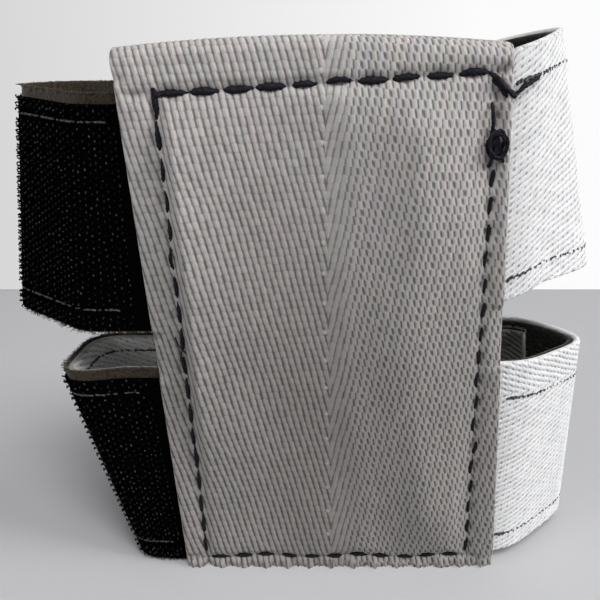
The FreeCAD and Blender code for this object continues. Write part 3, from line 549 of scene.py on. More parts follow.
# The panel's yarn and what varies it. It is painted darker from the middle down, and in a band just left of
# the herringbone's middle line, as painted shade.
YARN_DARK, YARN_PALE = (0.352, 0.340, 0.336), (0.435, 0.423, 0.418)
YARN_FIBRE, YARN_BLOTCH = (0.22, 0.21, 0.208), (0.27, 0.25, 0.24)
YARN_IN_PAINTED_SHADE, NUB_COLOUR = (0.172, 0.162, 0.155), (0.46, 0.45, 0.44)
GAP_COLOUR, GAP_IN_PAINTED_SHADE = (0.135, 0.118, 0.110), (0.062, 0.052, 0.047)
panel_cloth, tree, shader, (cloth_across, cloth_along, _) = paint("panel_cloth", 0.82, 0.12)
rise, rib, number, nub = panel_weave(cloth_across, cloth_along)
half = ramp(cloth_across, -0.01, 0.01)
luck, tint = chance(tree, triple(tree, rib + 0.5, number + 0.5, half * 7.0))
rib_luck, rib_tint = chance(tree, triple(tree, rib + 0.5, half * 3.0, 0.5))
line = (absolute(cloth_across) - cloth_along * PANEL_RIB_LEAN) / PANEL_PITCH
fibres = speckle(tree, triple(tree, line * 5.0, cloth_along * 0.9, rib), 1.0, 3.0)
blotch = speckle(tree, triple(tree, cloth_across, cloth_along, 0.0), 0.16, 3.0)
yarn = mixed(tree, luck * 0.6 + rib_luck * 0.4, YARN_DARK, YARN_PALE)
yarn = mixed(tree, 0.022, yarn, tint)
yarn = mixed(tree, 0.02, yarn, rib_tint)
yarn = mixed(tree, fibres * 0.35, yarn, YARN_FIBRE)
yarn = mixed(tree, (blotch - 0.35) * 0.5, yarn, YARN_BLOTCH)
# Painted shade: yarn and gaps darken from 78 mm down to 28 mm, and the yarn in a band left of the middle
# line.
painted_shade_lower_down = ramp(-cloth_along, -78.0, -28.0)
painted_shade_middle_band = ramp(-absolute(cloth_across + 3.0), -13.0, -1.0) * ramp(-cloth_along, -76.0, -68.0)
yarn = mixed(tree, painted_shade_lower_down * 0.70 + painted_shade_middle_band * 0.20, yarn, YARN_IN_PAINTED_SHADE)
yarn = mixed(tree, nub * (0.55 - painted_shade_lower_down * 0.25), yarn, NUB_COLOUR)
gap = ramp(rise + (luck - 0.5) * 0.16, 0.16, 0.84)
between_yarns = mixed(tree, painted_shade_lower_down, GAP_COLOUR, GAP_IN_PAINTED_SHADE)
cloth_colour = mixed(tree, gap, between_yarns, yarn)
finish_paint(tree, shader, cloth_colour, fibres + rise * 0.5, 0.10)

panel = make_piece("panel_webbing_cloth", panel_part, panel_cloth, ["panel_webbing"])
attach(panel, "cuff_front")


# Thread of the panel's seams. Thick navy bonded thread, three plies twisted together, is laid in running
# stitches 3 to 4 mm long that dive into the cloth at both ends. A few stitches on each other lock the
# right-hand top corner, and the thread's tail is tied off in a ring-shaped knot on the right seam.
THREAD_RADIUS = 0.44
THREAD_SEAT = SEAM_DEPTH + 0.42
BACK_SEAT = 0.02
# The paler ply colour is partly the thread's own and partly a painted highlight.
THREAD_DARK, THREAD_PALE_AND_GLINT = (0.0010, 0.0010, 0.0016), (0.0140, 0.0135, 0.0205)


def twisted_thread(path, radius, plies=3, twist=2.6, around=12):
    """A twisted thread along a path of points (across, along, depth): its points, faces and twist places."""
    path = np.asarray(path, float)
    run = np.gradient(path, axis=0)
    run /= np.linalg.norm(run, axis=1)[:, None]
    wide = np.cross(run, [0.0, 0.0, -1.0])
    wide /= np.linalg.norm(wide, axis=1)[:, None] + 1e-9
    tall = np.cross(wide, run)
    travelled = np.concatenate([[0], np.cumsum(np.linalg.norm(np.diff(path, axis=0), axis=1))])
    turn = np.linspace(0, 2 * math.pi, around, endpoint=False)
    phase = plies * (turn[None, :] - twist * travelled[:, None])
    share = travelled / travelled[-1]
    taper = np.clip(np.minimum(share, 1 - share) * 9, 0.25, 1) ** 0.5
    lumps = 1 + 0.07 * np.sin(travelled * 4.3 + path[0, 0]) + 0.05 * np.sin(travelled * 9.1 + path[0, 1])
    size = radius * (taper * lumps)[:, None] * (0.70 + 0.30 * np.abs(np.cos(phase / 2)) ** 0.8)
    points = (path[:, None, :] + wide[:, None, :] * (size * np.cos(turn))[:, :, None]
              + tall[:, None, :] * (size * np.sin(turn))[:, :, None])
    weave = np.stack(np.broadcast_arrays(phase / math.pi, travelled[:, None], 0.0), -1)
    return points.reshape(-1, 3), ring_faces(len(path), around), weave.reshape(-1, 3)


def thread_hairs(path, radius, rng, count=7):
    """Broken fibres that stand off a worn thread."""
    parts = []
    for start in rng.integers(1, len(path) - 2, count):
        share = np.linspace(0, 1, 5)[:, None]
        side = rng.normal(0, 1, 3) * (1.0, 1.0, 0.5)
        side *= radius * rng.uniform(1.2, 2.3) / np.linalg.norm(side)
        run = path[start + 1] - path[start]
        run = run / np.linalg.norm(run) * rng.uniform(0.3, 0.9)
        parts.append(twisted_thread(path[start] + side * share + run * share ** 2, 0.035, around=3))
    return parts


def gather(parts):
    """Several (points, faces, weave) as one."""
    points, faces, weave = [], {}, []
    first = 0
    for part_points, part_faces, part_weave in parts:
        for face in part_faces:
            faces.setdefault(face.shape[1], []).append(face + first)
        points.append(part_points)
        weave.append(part_weave)
        first += len(part_points)
    return np.concatenate(points), [np.concatenate(face) for face in faces.values()], np.concatenate(weave)


def stitch_path(start, finish, seat, rise, dive, steps=18, steep=0.55):
    """One stitch on flat cloth, from one hole to the next: it dips in at both ends."""
    share = np.linspace(0, 1, steps)[:, None]
    line = np.asarray(start) * (1 - share) + np.asarray(finish) * share
    lift = np.sin(share[:, 0] * math.pi) ** steep
    return np.column_stack([line, seat + dive - (rise + dive) * lift])


def seam_stitches(place, low, high, pitch, length, radius, seat, rng, worn=False, slant=0.0):
    """Running stitches along a seam. place gives (across, along) for a distance from low to high."""
    parts = []
    count = math.floor((high - low) / pitch)
    spacing = (high - low) / count
    for i in range(count):
        begin = low + i * spacing + rng.normal(0, 0.09)
        end = begin + length + rng.normal(0, 0.18)
        start = np.array(place(begin)) + rng.normal(0, 0.07, 2)
        finish = np.array(place(end)) + rng.normal(0, 0.12, 2)
        start[0], finish[0] = start[0] - slant / 2, finish[0] + slant / 2
        path = stitch_path(start, finish, seat, radius * 0.8, 0.5, 26, 0.33)
        path[:, :2] += rng.normal(0, 0.12, 2) * np.sin(np.linspace(0, math.pi, len(path)))[:, None]
        parts.append(twisted_thread(path, radius * rng.uniform(0.82, 1.16), around=14))
        if worn:
            parts += thread_hairs(path, radius, rng)
    return parts


def smooth_line(knots, steps):
    """A smooth run of points through a few knots, eased between them."""
    knots = np.asarray(knots, float)
    at = np.linspace(0, len(knots) - 1, steps)
    first = np.clip(np.floor(at).astype(int), 0, len(knots) - 2)
    share = (at - first)[:, None]
    before = knots[np.maximum(first - 1, 0)]
    start, finish = knots[first], knots[first + 1]
    after = knots[np.minimum(first + 2, len(knots) - 1)]
    return (start + 0.5 * share * (finish - before + share * (2 * before - 5 * start + 4 * finish - after
            + share * (3 * (start - finish) + after - before))))


def on_panel(part):
    points, faces, weave = part
    return panel_point(points[:, 0], points[:, 1], points[:, 2]), faces, weave


rng = np.random.default_rng(7)
thread_paint, tree, shader, (ply, thread_along, _) = paint("dark_thread", 0.7, 0.0)
shader.inputs["Specular IOR Level"].default_value = 0.12
strand = absolute(sine(ply * math.pi / 2))
fluff = speckle(tree, triple(tree, ply * 1.5, thread_along * 6.0, 0.0), 1.0, 3.0)
thread_colour = mixed(tree, strand * 0.5 + fluff * 0.5, THREAD_DARK, THREAD_PALE_AND_GLINT)
finish_paint(tree, shader, thread_colour, strand + fluff * 0.4, 0.10)


def back_line(place):
    """The same seam seen on the back of the panel, half a pitch on: along runs on over the fold."""
    def behind_place(t):
        across, up = place(t + STITCH_PITCH / 2)
        return across, 2 * (panel_top(across) - FOLD_RADIUS) + math.pi * FOLD_RADIUS - up
    return behind_place


def sew_panel(name, place, low, high, pitch, radius, length, extra=(), slant=0.0):
    """One seam of the panel, in front and behind, with the threads that go with it."""
    parts = seam_stitches(place, low, high, pitch, length, radius, THREAD_SEAT, rng, True, slant)
    parts += seam_stitches(back_line(place), low, high - pitch, pitch, STITCH_LENGTH * 0.9, THREAD_RADIUS,
                           BACK_SEAT, rng)
    part = gather([on_panel(part) for part in parts + list(extra)])
    piece = make_piece(name + "_stitches", part, thread_paint, [name])
    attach(piece, "cuff_front")


# The lock: four stitches on each other at the right-hand top corner
LOCK_RADIUS = 0.31
top_left, top_right = TOP_ENDS
corner = np.array([top_right - 0.6, top_seam(top_right) - 0.35])
lock = []
for offset, lift in (((-0.15, 0.35), 0.5), ((0.25, 0.15), 0.8), ((0.6, -0.15), 0.55), ((0.1, -0.4), 0.35)):
    path = stitch_path(corner + offset, corner + offset + (2.9, -2.6), 0.40, lift, 0.5, 30)
    path[:, :2] += 0.12 * np.sin(np.linspace(0, 5 + lift * 4, len(path)))[:, None] * (1.0, 0.6)
    lock.append(twisted_thread(path, LOCK_RADIUS))
    lock += thread_hairs(path, LOCK_RADIUS, rng)

# The thread turns the left-hand top corner, and three broken fibres stand off the left seam.
turn_path = [(top_left + 0.6, top_seam(top_left) + 0.05, 0.55),
             (top_left - 0.1, top_seam(top_left) - 0.05, 0.30),
             (seam_place("left", SEAM_HIGH) + 0.15, SEAM_HIGH + 1.5, 0.34),
             (seam_place("left", 72.0), 72.0, 0.60)]
turned = twisted_thread(smooth_line(turn_path, 24), 0.36)
strays = []
for ends in (((-0.9, 41.0), (0.3, 38.6)), ((-0.2, 40.4), (0.5, 38.2)), ((0.1, 39.6), (-0.5, 37.0))):
    start, finish = ((seam_place("left", up) + aside, up) for aside, up in ends)
    strays.append(twisted_thread(stitch_path(start, finish, 0.05, 0.5, 0.4), 0.11, around=6))

sew_panel("left_seam_thread", lambda t: (seam_place("left", t), t), *SEAMS["left"], 0.33, 4.0,
          strays + [turned], 0.15)
sew_panel("right_seam_thread", lambda t: (seam_place("right", t), t), *SEAMS["right"], 0.27, 3.3, slant=0.35)
sew_panel("top_seam_thread", lambda t: (t, top_seam(t)), *SEAMS["top"], 0.47, 3.75, lock)
sew_panel("bottom_seam_thread", lambda t: (t, bottom_seam(t)), *SEAMS["bottom"], 0.33, 3.4)

# The knot is a loose ring of thread drawn round its own standing part, with two short tails.
KNOT_RADIUS = 0.21
centre = np.array([seam_place("right", KNOT_HEIGHT) + 0.25, KNOT_HEIGHT])
turn = np.linspace(0, 2 * math.pi * 1.1, 60)
knot_parts = []
for wide, tall, lean, lift, start in ((1.30, 1.75, 0.5, -0.1, 0.0), (1.05, 1.60, -0.6, -0.45, 1.3),
                                      (1.20, 1.45, 0.1, -0.75, 2.9), (0.80, 1.20, 0.8, -0.35, 4.2)):
    ring_across = wide * np.cos(turn + start) + 0.25 * lean * np.sin(turn + start)
    ring_along = tall * np.sin(turn + start) + 0.15 * np.sin(2 * turn)
    ring_depth = lift + 0.28 * np.sin(turn * 2 + start)
    path = np.column_stack([centre[0] + ring_across, centre[1] + ring_along, ring_depth])
    knot_parts.append(twisted_thread(path, KNOT_RADIUS))
    knot_parts += thread_hairs(path, KNOT_RADIUS, rng, 12)
for start, finish, radius in (((-0.75, 5.3), (-0.6, 1.2), 0.26), ((-0.3, 1.9), (0.5, -1.5), 0.26),
                              ((0.0, 1.6), (-0.6, -1.2), 0.22), ((-0.6, -1.0), (-0.95, -2.9), 0.28),
                              ((0.4, -1.2), (0.9, -2.3), 0.20)):
    path = stitch_path(centre + start, centre + finish, 0.15, 0.7, 0.6, 26)
    knot_parts.append(twisted_thread(path, radius))
    knot_parts += thread_hairs(path, radius, rng)
part = gather([on_panel(part) for part in knot_parts])
knot = make_piece("tied_knot", part, thread_paint, ["thread_knot"])
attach(knot, "cuff_front")


# Hook straps. Each is a length of woven hook tape, black nylon, sewn onto a brown felt backing and a grey
# webbing that lies against the skin. It leaves the panel on the left, turns round the wrist and ends behind
# on the right, where its hooks grip the lining of the loop strap.
STRAP_WIDTH = 34.5
STRAP_THICKNESS = 1.9
STRAP_PITCH = 0.92
STRAP_RIB_LEAN = -0.36
STRAP_FLOAT = 1.06
HOOK_BACK, HOOK_BACK_BEND = 16.9, 6.0
LOOP_BACK, LOOP_BACK_BEND = 19.8, 8.0
NEAR_BEND = 4.0
TURN_BEND = 3.0
EDGE_GAP = 0.3
HOOK_SEWN_IN = 2.3
LOOP_SEWN_IN = 16.0
FLAP_END = 3.0 - HALF_WIDTH
TIP_BEND = 4.0
TIP_SETBACK = {"upper": 1.7, "lower": 0.1}
TIP_ANGLE = 220.0
TIP_RUN = 1.2
# Heights of the lower edges at the panel, how far each strap climbs from there, and how far its flap falls
BASES = {"upper": {"hook": 41.0, "loop": 45.1}, "lower": {"hook": 0.0, "loop": 1.8}}
CLIMB = {"upper": {"hook": 4.8, "loop": 2.5, "fall": 2.1}, "lower": {"hook": 1.2, "loop": 0.1, "fall": 1.8}}
TRIM = 0.5
# How far below a strap's upper edge its herringbone turns over
RIBS_TURN = {"upper_hook": 17.0, "lower_hook": 17.0, "upper_loop": 0.4, "lower_loop": 5.0}
# How much higher the cloth of a hook strap reaches near the panel, and how much all along
TOP_LIFT = {"upper": -0.35, "lower": 0.8}
TOP_DROP = {"upper": -0.85, "lower": 0.0}
CLOTH_EASE = {"hook": 1.0, "loop": 2.6}
# Where a strap bends, low and high: the near bend, the turn, its depth, and from the turn to the last bend
BENDS = {
    "upper_hook": ((8.6, 2.6), (19.7, 11.0), (12.6, 10.1), (3.7, 4.1)),
    "lower_hook": ((1.2, 3.1), (4.9, 12.7), (4.6, 4.6), (2.8, 3.6)),
    "upper_loop": ((0.8, 0.9), (15.7, 5.5), (14.9, 9.5), (5.7, 6.3)),
    "lower_loop": ((0.7, 2.7), (12.7, 12.4), (14.3, 10.5), (6.3, 8.0)),
}


def level_height(band, kind, level):
    """The height at which a strap's low (0) or high (1) bends are given."""
    base = BASES[band][kind]
    if level == 1:
        return base + STRAP_WIDTH + CLIMB[band][kind] + TRIM
    return base - (CLIMB[band]["fall"] if kind == "loop" else 0.0) - TRIM


def strap_start(kind, height):
    """How far from the middle a strap leaves the leaning edge of the panel."""
    lean = PANEL_LEAN * height / PANEL_HEIGHT
    return HALF_WIDTH + EDGE_GAP + (lean if kind == "hook" else -lean)


def strap_bends(band, kind, level):
    """Where a strap starts and the bends of its outer face, low or high: (across, back, radius)."""
    start = strap_start(kind, level_height(band, kind, level))
    lead, reach, deep, back = (pair[level] for pair in BENDS[band + "_" + kind])
    behind, radius = (HOOK_BACK, HOOK_BACK_BEND) if kind == "hook" else (LOOP_BACK, LOOP_BACK_BEND)
    turn = start + reach
    return start, [(start + lead, CLOTH_THICKNESS + NEAR_BEND, NEAR_BEND), (turn, deep, TURN_BEND),
                   (turn - back, behind - radius, radius)]


def last_bend(band, level):
    """How far across the last bend of a loop strap lies."""
    return strap_bends(band, "loop", level)[1][2][0]


def strap_knots(bends, begin, last_angle, last_run=None, last_across=None):
    """The outer face at one height as knots (across, back, radius, angle), straight or round between them."""
    angles = [0.0]
    for before, after in zip(bends[:-1], bends[1:]):
        step = np.subtract(after[:2], before[:2])
        tilt = math.asin((before[2] - after[2]) / np.hypot(*step))
        angles.append(math.degrees(math.atan2(step[1], step[0]) + tilt) % 360)
    angles.append(last_angle)
    knots = [(begin, bends[0][1], bends[0][2], 0.0)]
    for bend, before, after in zip(bends, angles[:-1], angles[1:]):
        knots += [(*bend, before), (*bend, after)]
    across, back, radius, angle = knots[-1]
    if last_run is not None:
        run = last_run * np.array([math.cos(math.radians(angle)), math.sin(math.radians(angle))])
        knots.append((across + run[0], back + run[1], radius, angle))
    else:
        knots.append((last_across, back, radius, angle))
    return np.array(knots)


def out_of(angle):
    """The way out of a face that runs at this angle."""
    return np.stack([np.sin(np.radians(angle)), -np.cos(np.radians(angle))], -1)


class Strap:
    """A strap bent into place. Its layers are laid flat, (along, up, depth) in mm, and at() bends them."""

    def __init__(self, band, kind):
        self.band = band
        self.kind = kind
        self.side = -1 if kind == "hook" else 1
        self.turn_line = STRAP_WIDTH - RIBS_TURN[band + "_" + kind]
        self.low = level_height(band, kind, 0)
        self.high = level_height(band, kind, 1)
        levels = [self.level_knots(level) for level in (0, 1)]
        lengths = []
        for knots in levels:
            fine = np.linspace(0, len(knots) - 1, 4001)
            path = np.stack([np.interp(fine, np.arange(len(knots)), knots[:, i]) for i in range(4)], -1)
            face = path[:, :2] + path[:, 2:3] * out_of(path[:, 3])
            travelled = np.concatenate([[0], np.cumsum(np.hypot(*np.diff(face, axis=0).T))])
            lengths.append(np.interp(np.arange(len(knots)), fine, travelled))
        self.marks = (lengths[0] + lengths[1]) / 2
        self.length = self.marks[-1]
        self.along = np.linspace(0, self.length, 700)
        self.levels = [self.eased(knots) for knots in levels]

    def eased(self, knots):
        """Cloth turns less sharply than its drawn bends: the outer face and its way out, smoothed."""
        across, back, radius, angle = (np.interp(self.along, self.marks, knots[:, i]) for i in range(4))
        face = np.stack([across, back], -1) + radius[:, None] * out_of(angle)
        step = self.along[1]
        reach = int(3 * CLOTH_EASE[self.kind] / step)
        weights = np.exp(-0.5 * (np.arange(-reach, reach + 1) * step / CLOTH_EASE[self.kind]) ** 2)
        padded = np.pad(face, ((reach, reach), (0, 0)), "reflect", reflect_type="odd")
        face = np.stack([np.convolve(padded[:, i], weights / weights.sum(), "valid") for i in (0, 1)], -1)
        run = np.gradient(face, axis=0)
        run /= np.linalg.norm(run, axis=1)[:, None]
        return np.concatenate([face, run[:, 1:], -run[:, :1]], -1)

    def level_knots(self, level):
        start, bends = strap_bends(self.band, self.kind, level)
        if self.kind == "loop":
            return strap_knots(bends, start - EDGE_GAP - LOOP_SEWN_IN, 180.0, last_across=FLAP_END)
        low, high = (last_bend(self.band, i) for i in (0, 1))
        loop_low, loop_high = (level_height(self.band, "loop", i) for i in (0, 1))
        share = (level_height(self.band, "hook", level) - loop_low) / (loop_high - loop_low)
        tip = low + (high - low) * share - TIP_SETBACK[self.band]
        bends.append((-tip, HOOK_BACK - TIP_BEND, TIP_BEND))
        return strap_knots(bends, start - HOOK_SEWN_IN, TIP_ANGLE, last_run=TIP_RUN)

    def edges(self, across, along):
        """Heights of the lower and the upper edge."""
        base = BASES[self.band][self.kind]
        climb = CLIMB[self.band][self.kind]
        if self.kind == "hook":
            low = np.interp(across, [-HALF_WIDTH, last_bend(self.band, 0)], [base, base + climb])
            low = np.where(along < self.marks[2], base, low)
            start, bends = strap_bends(self.band, "hook", 1)
            near_panel = ramp(-across, -bends[1][0], -start) * ramp(-along, -self.marks[3], -self.marks[2])
            return low, low + STRAP_WIDTH + TOP_LIFT[self.band] * near_panel + TOP_DROP[self.band]
        top = base + STRAP_WIDTH
        edge = strap_start("loop", top)
        turn = strap_bends(self.band, "loop", 1)[1][1][0] + TURN_BEND
        climbing = np.interp(across, [edge, turn], [0.0, climb])
        falling = np.interp(across, [FLAP_END, edge], [-CLIMB[self.band]["fall"], 0.0])
        low = base + climbing + np.where(along > self.marks[4], falling, 0.0)
        tucked = np.where(self.band == "upper", ramp(-across, -edge - 0.2, -edge + 1.0), 0.0)
        return low, low + STRAP_WIDTH - np.where(along < self.marks[1], tucked * 1.4, 0.0)

    def at(self, along, up, depth):
        """Points in mm for places along the strap, up from its lower edge and deep into its outer face."""
        along, up, depth = np.broadcast_arrays(*(np.asarray(v, float) for v in (along, up, depth)))
        ends = []
        for path in self.levels:
            level = np.stack([np.interp(along, self.along, path[:, i]) for i in range(4)], -1)
            ends.append((level[..., :2], level[..., 2:]))
        (low_point, low_out), (high_point, high_out) = ends
        share = np.full(along.shape, 0.5)
        for _ in range(5):
            flat = low_point + (high_point - low_point) * share[..., None]
            flat = flat - depth[..., None] * (low_out + (high_out - low_out) * share[..., None])
            bottom, top = self.edges(flat[..., 0] * (self.side if self.kind == "hook" else 1), along)
            height = bottom + up * (top - bottom) / STRAP_WIDTH
            share = (height - self.low) / (self.high - self.low)
        return np.stack([flat[..., 0] * self.side, flat[..., 1], height], -1)

    def ribbon(self, outer, inner, fine, coarse, relief, low=0.0, high=0.0, rows_step=None):
        """One layer of the strap, between two depths and set in from its edges, as a part."""
        corner = min(0.4, (inner - outer) / 2)
        up, deep, face = cloth_ring(STRAP_WIDTH - low - high, inner - outer, fine, coarse, corner)
        rows = np.linspace(0.0, self.length, round(self.length / (rows_step or fine)))
        along, up = np.meshgrid(rows, up + low, indexing="ij")
        deep = np.broadcast_to(deep, along.shape) + outer
        face = np.broadcast_to(face, along.shape)
        points = self.at(along, up, deep - relief(up, along, face))
        weave = np.stack([up - self.turn_line, along, face], -1)
        return points, ring_faces(*along.shape), weave


straps = {(band, kind): Strap(band, kind) for band in ("upper", "lower") for kind in ("hook", "loop")}
# The skin side is darker along its upper edge, and painted dark over its last stretch as the shade of the
# loop strap.
DARK_EDGE_BAND, DARK_EDGE_COLOUR = (16.2, 16.9), (0.10, 0.085, 0.065)
DARK_TIP, SHADE = 22.0, (0.045, 0.044, 0.036)
dark_from = min(straps[(band, "hook")].length for band in ("upper", "lower")) - DARK_TIP


def strap_weave(above_turn, along):
    """The straps' finer herringbone, whose ribs turn over at a line along the strap."""
    return herringbone(-above_turn, along, STRAP_PITCH, STRAP_RIB_LEAN, STRAP_FLOAT, 1.0)


def webbing_relief(up, along, face, strap):
    """Ribs on the face that shows, and edges that swell and shrink with the turning weft."""
    edge = np.minimum(up, STRAP_WIDTH - up)
    loops = 0.10 * np.sin(along * 2 * math.pi / 1.1) * ramp(-edge, -0.9, -0.1)
    return (0.13 * (strap_weave(up - strap.turn_line, along)[0] - 0.7) + loops) * face


def webbing_paint(name, bright, dim, gap_colour, streaks, shows_inside):
    """Matt yarn: paler where it stands out, darker between the ribs, each float a little different."""
    material, tree, shader, (up, along, face) = paint(name, 0.85, 0.10)
    rise, rib, number = strap_weave(up, along)
    luck, _ = chance(tree, triple(tree, rib + 0.5, number + 0.5, ramp(up, -0.1, 0.1) * 5.0))
    fibres = speckle(tree, triple(tree, up * 5.0, along * 1.5, rib * 0.3), 1.0, 3.0)
    cloud = speckle(tree, triple(tree, up, along, 3.0), 0.22, 3.0)
    yarn = mixed(tree, luck * 0.5 + cloud * 0.5, dim, bright)
    yarn = mixed(tree, fibres * streaks, yarn, dim)
    shade = ramp(rise + (luck - 0.5) * 0.25 + (cloud - 0.5) * 0.3, 0.0, 0.8)
    plain = ramp(face, 0.0, 0.5) if shows_inside else 1.0 - ramp(face, 0.5, 1.0)
    cloth = mixed(tree, at_least(shade, plain), gap_colour, yarn)
    if shows_inside:
        # Darker along the upper edge; painted shade over the last stretch.
        cloth = mixed(tree, ramp(up, *DARK_EDGE_BAND) * 0.9, cloth, DARK_EDGE_COLOUR)
        cloth = mixed(tree, ramp(along, dark_from, dark_from + 4.0) * 0.9, cloth, SHADE)
    finish_paint(tree, shader, cloth, fibres * 0.4 + rise, 0.10)
    return material


def filaments(strap, along, up, steps, radius, around=4):
    """Short thin hairs. Each starts at a flat place and goes through steps (along, up, depth) from there."""
    steps = np.asarray(steps, float)
    centre = steps + np.stack([along, up, along * 0], -1)[:, None, :]
    centre = strap.at(centre[..., 0], centre[..., 1], centre[..., 2])
    run = np.gradient(centre, axis=1)
    run /= np.linalg.norm(run, axis=-1)[..., None] + 1e-9
    wide = np.cross(run, [0.31, 0.12, 0.94])
    wide /= np.linalg.norm(wide, axis=-1)[..., None] + 1e-9
    tall = np.cross(run, wide)
    wide, tall = wide[:, :, None, :], tall[:, :, None, :]
    thick = radius * np.linspace(1.0, 0.72, centre.shape[1])[None, :, None, None]
    turn = np.linspace(0, 2 * math.pi, around, endpoint=False)[None, None, :, None]
    points = centre[:, :, None, :] + thick * (wide * np.cos(turn) + tall * np.sin(turn))
    hair = ring_faces(centre.shape[1], around)
    first = (np.arange(len(along)) * centre.shape[1] * around)[:, None, None]
    faces = [(face[None] + first).reshape(-1, face.shape[1]) for face in hair]
    share = np.linspace(0, 1, centre.shape[1])[None, :, None] + np.zeros((1, 1, around))
    weave = np.stack(np.broadcast_arrays(up[:, None, None], along[:, None, None], share), -1)
    return points, faces, weave


def on_strap(strap, part):
    points, faces, weave = part
    return strap.at(*points.T), faces, weave


def seam_on(strap, up, begin, end, depth, facing, radius, rng, pitch=0.78, slant=0.30, swollen=1.0):
    """A fine machine seam along the strap: small slanting stitches of dark thread, half sunk in the cloth."""
    parts = []
    share = np.linspace(0, 1, 9)
    for i in range(int((end - begin) / pitch)):
        start = begin + i * pitch + rng.normal(0, 0.03)
        reach, rise = pitch * rng.uniform(0.75, 1.3), rng.normal(slant, 0.5 * slant)
        sunk = rng.uniform(-0.05, 0.10)
        path = np.column_stack([start + reach * share, up + rise * (share - 0.5),
                                depth + facing * (0.10 - sunk - 0.26 * np.sin(share * math.pi) ** 0.7)])
        size = radius * np.interp(start - begin, [0.0, 7.0], [swollen, 1.0])
        parts.append(on_strap(strap, twisted_thread(path, size, 2, 1.1, around=6)))
    return parts


# The webbing of a hook strap is grey like the panel's, painted paler as painted light on its shaded inner
# face. Its two seams show on the skin side.
hook_cloth = webbing_paint("hook_strap_cloth", (0.74, 0.735, 0.73), (0.62, 0.615, 0.61), (0.30, 0.295, 0.29),
                           0.4, shows_inside=True)

FELT_DARK, FELT_BROWN, FELT_DULL = (0.007, 0.0045, 0.0032), (0.040, 0.026, 0.014), (0.024, 0.022, 0.013)
felt, tree, shader, (felt_up, felt_along, felt_face) = paint("brown_backing", 0.95, 0.25)
grain = speckle(tree, triple(tree, felt_up * 2.6, felt_along * 2.6, felt_face), 1.0, 4.0)
cloud = speckle(tree, triple(tree, felt_up, felt_along, 5.0), 0.25, 2.0)
felt_colour = mixed(tree, ramp(grain, 0.35, 0.65), FELT_DARK, FELT_BROWN)
felt_colour = mixed(tree, ramp(cloud, 0.4, 0.7) * 0.45, felt_colour, FELT_DULL)
finish_paint(tree, shader, felt_colour, grain, 0.16)

TAPE_DARK, TAPE_PALE = (0.0005, 0.0005, 0.0006), (0.0020, 0.0020, 0.0019)
tape_paint, tree, shader, (tape_up, tape_along, _) = paint("hook_tape", 0.8, 0.0)
shader.inputs["Specular IOR Level"].default_value = 0.0
tufts = speckle(tree, triple(tree, tape_up * 1.6, tape_along * 1.6, 0.0), 1.0, 3.0)
weft = sine(tape_along * 2 * math.pi / 0.75) * sine(tape_up * 2 * math.pi / 0.6)
finish_paint(tree, shader, mixed(tree, tufts, TAPE_DARK, TAPE_PALE), weft + tufts, 0.08)

# A few hooks get pale tips at random: painted glints, which fade out towards the dark foot.
HOOK_DARK, HOOK_GLINT, HOOK_FOOT = (0.0010, 0.0010, 0.0012), (0.060, 0.062, 0.060), (0.0008, 0.0008, 0.0008)
hook_paint, tree, shader, (hook_up, hook_along, hook_tip) = paint("hook_filament", 0.36, 0.0)
shader.inputs["Specular IOR Level"].default_value = 0.07
lot, _ = chance(tree, triple(tree, floor_of(hook_up * 40.0), floor_of(hook_along * 40.0), 0.0))
hook_glint_colour = mixed(tree, powered(lot, 2.6), HOOK_DARK, HOOK_GLINT)
hook_glint_colour = mixed(tree, ramp(hook_tip, 0.3, 0.9), HOOK_FOOT, hook_glint_colour)
finish_paint(tree, shader, hook_glint_colour, hook_tip, 0.02)

FLUFF_DARK, FLUFF_PALE = (0.010, 0.009, 0.006), (0.055, 0.046, 0.028)
fluff_paint, tree, shader, (fluff_up, fluff_along, fluff_tip) = paint("fringe_fibre", 0.9, 0.2)
lot, _ = chance(tree, triple(tree, floor_of(fluff_up * 20.0), floor_of(fluff_along * 20.0), 1.0))
finish_paint(tree, shader, mixed(tree, lot, FLUFF_DARK, FLUFF_PALE), fluff_tip, 0.02)

SEAM_DARK, SEAM_PALE = (0.008, 0.008, 0.011), (0.055, 0.055, 0.063)
seam_paint, tree, shader, (seam_ply, _, _) = paint("strap_seam_thread", 0.6, 0.1)
strand = absolute(sine(seam_ply * math.pi / 2))
finish_paint(tree, shader, mixed(tree, strand, SEAM_DARK, SEAM_PALE), strand, 0.08)

TAPE_DEPTH = 0.5
FELT_DEPTH = 0.9
TAPE_INSETS = (0.4, 1.5)
CLOTH_BELOW_FELT = {"upper": 3.2, "lower": 0.25}
HOOKS_BEGIN, HOOKS_END = 3.4, 0.7
HOOKS_LOW, HOOKS_HIGH = 0.9, 1.9
HOOK_PITCH_ALONG = 0.78
HOOK_PITCH_UP = 0.98
HOOK_RADIUS = 0.135
HOOK_SIDEWAYS = np.array([0.0, -0.05, 0.05, 0.22])
HOOK_TWIST = np.array([0.0, 0.4, 1.0, 1.4])
HOOK_DEPTHS = np.array([0.08, -0.26, -0.42, -0.34])
FIBRE_RADIUS = 0.045
SEAM_LANE = 0.55
SEAM_STOPS = 2.5
HOOK_SEAM_INSET, HOOK_SEAM_BEGINS = 3.8, 4.7
SKIN_SEAM_INSET, SKIN_SEAM_BEGINS = 2.7, 3.0
TAIL_REACH = 15.6
TAIL_BEGINS = 2.6
TAIL_ROOM = 0.05
strap_step = 0.34
weave_step = 0.23


def felt_relief(up, along, face):
    """The felt's pressed grain, and a crumbly cut edge."""
    edge = ramp(-np.minimum(up, STRAP_WIDTH - up), -0.8, 0.0)
    grain = np.sin(along * 4.9 + np.sin(up * 3.1)) * np.sin(up * 5.3 + np.sin(along * 2.3) * 1.5)
    return 0.05 * grain * face + 0.08 * edge * np.sin(along * 3.7)


def tape_relief(up, along, face):
    """The tape's own close weave, below the hooks."""
    return 0.06 * np.sin(along * 2 * math.pi / 0.8) * np.sin(up * 2 * math.pi / 0.62) * face


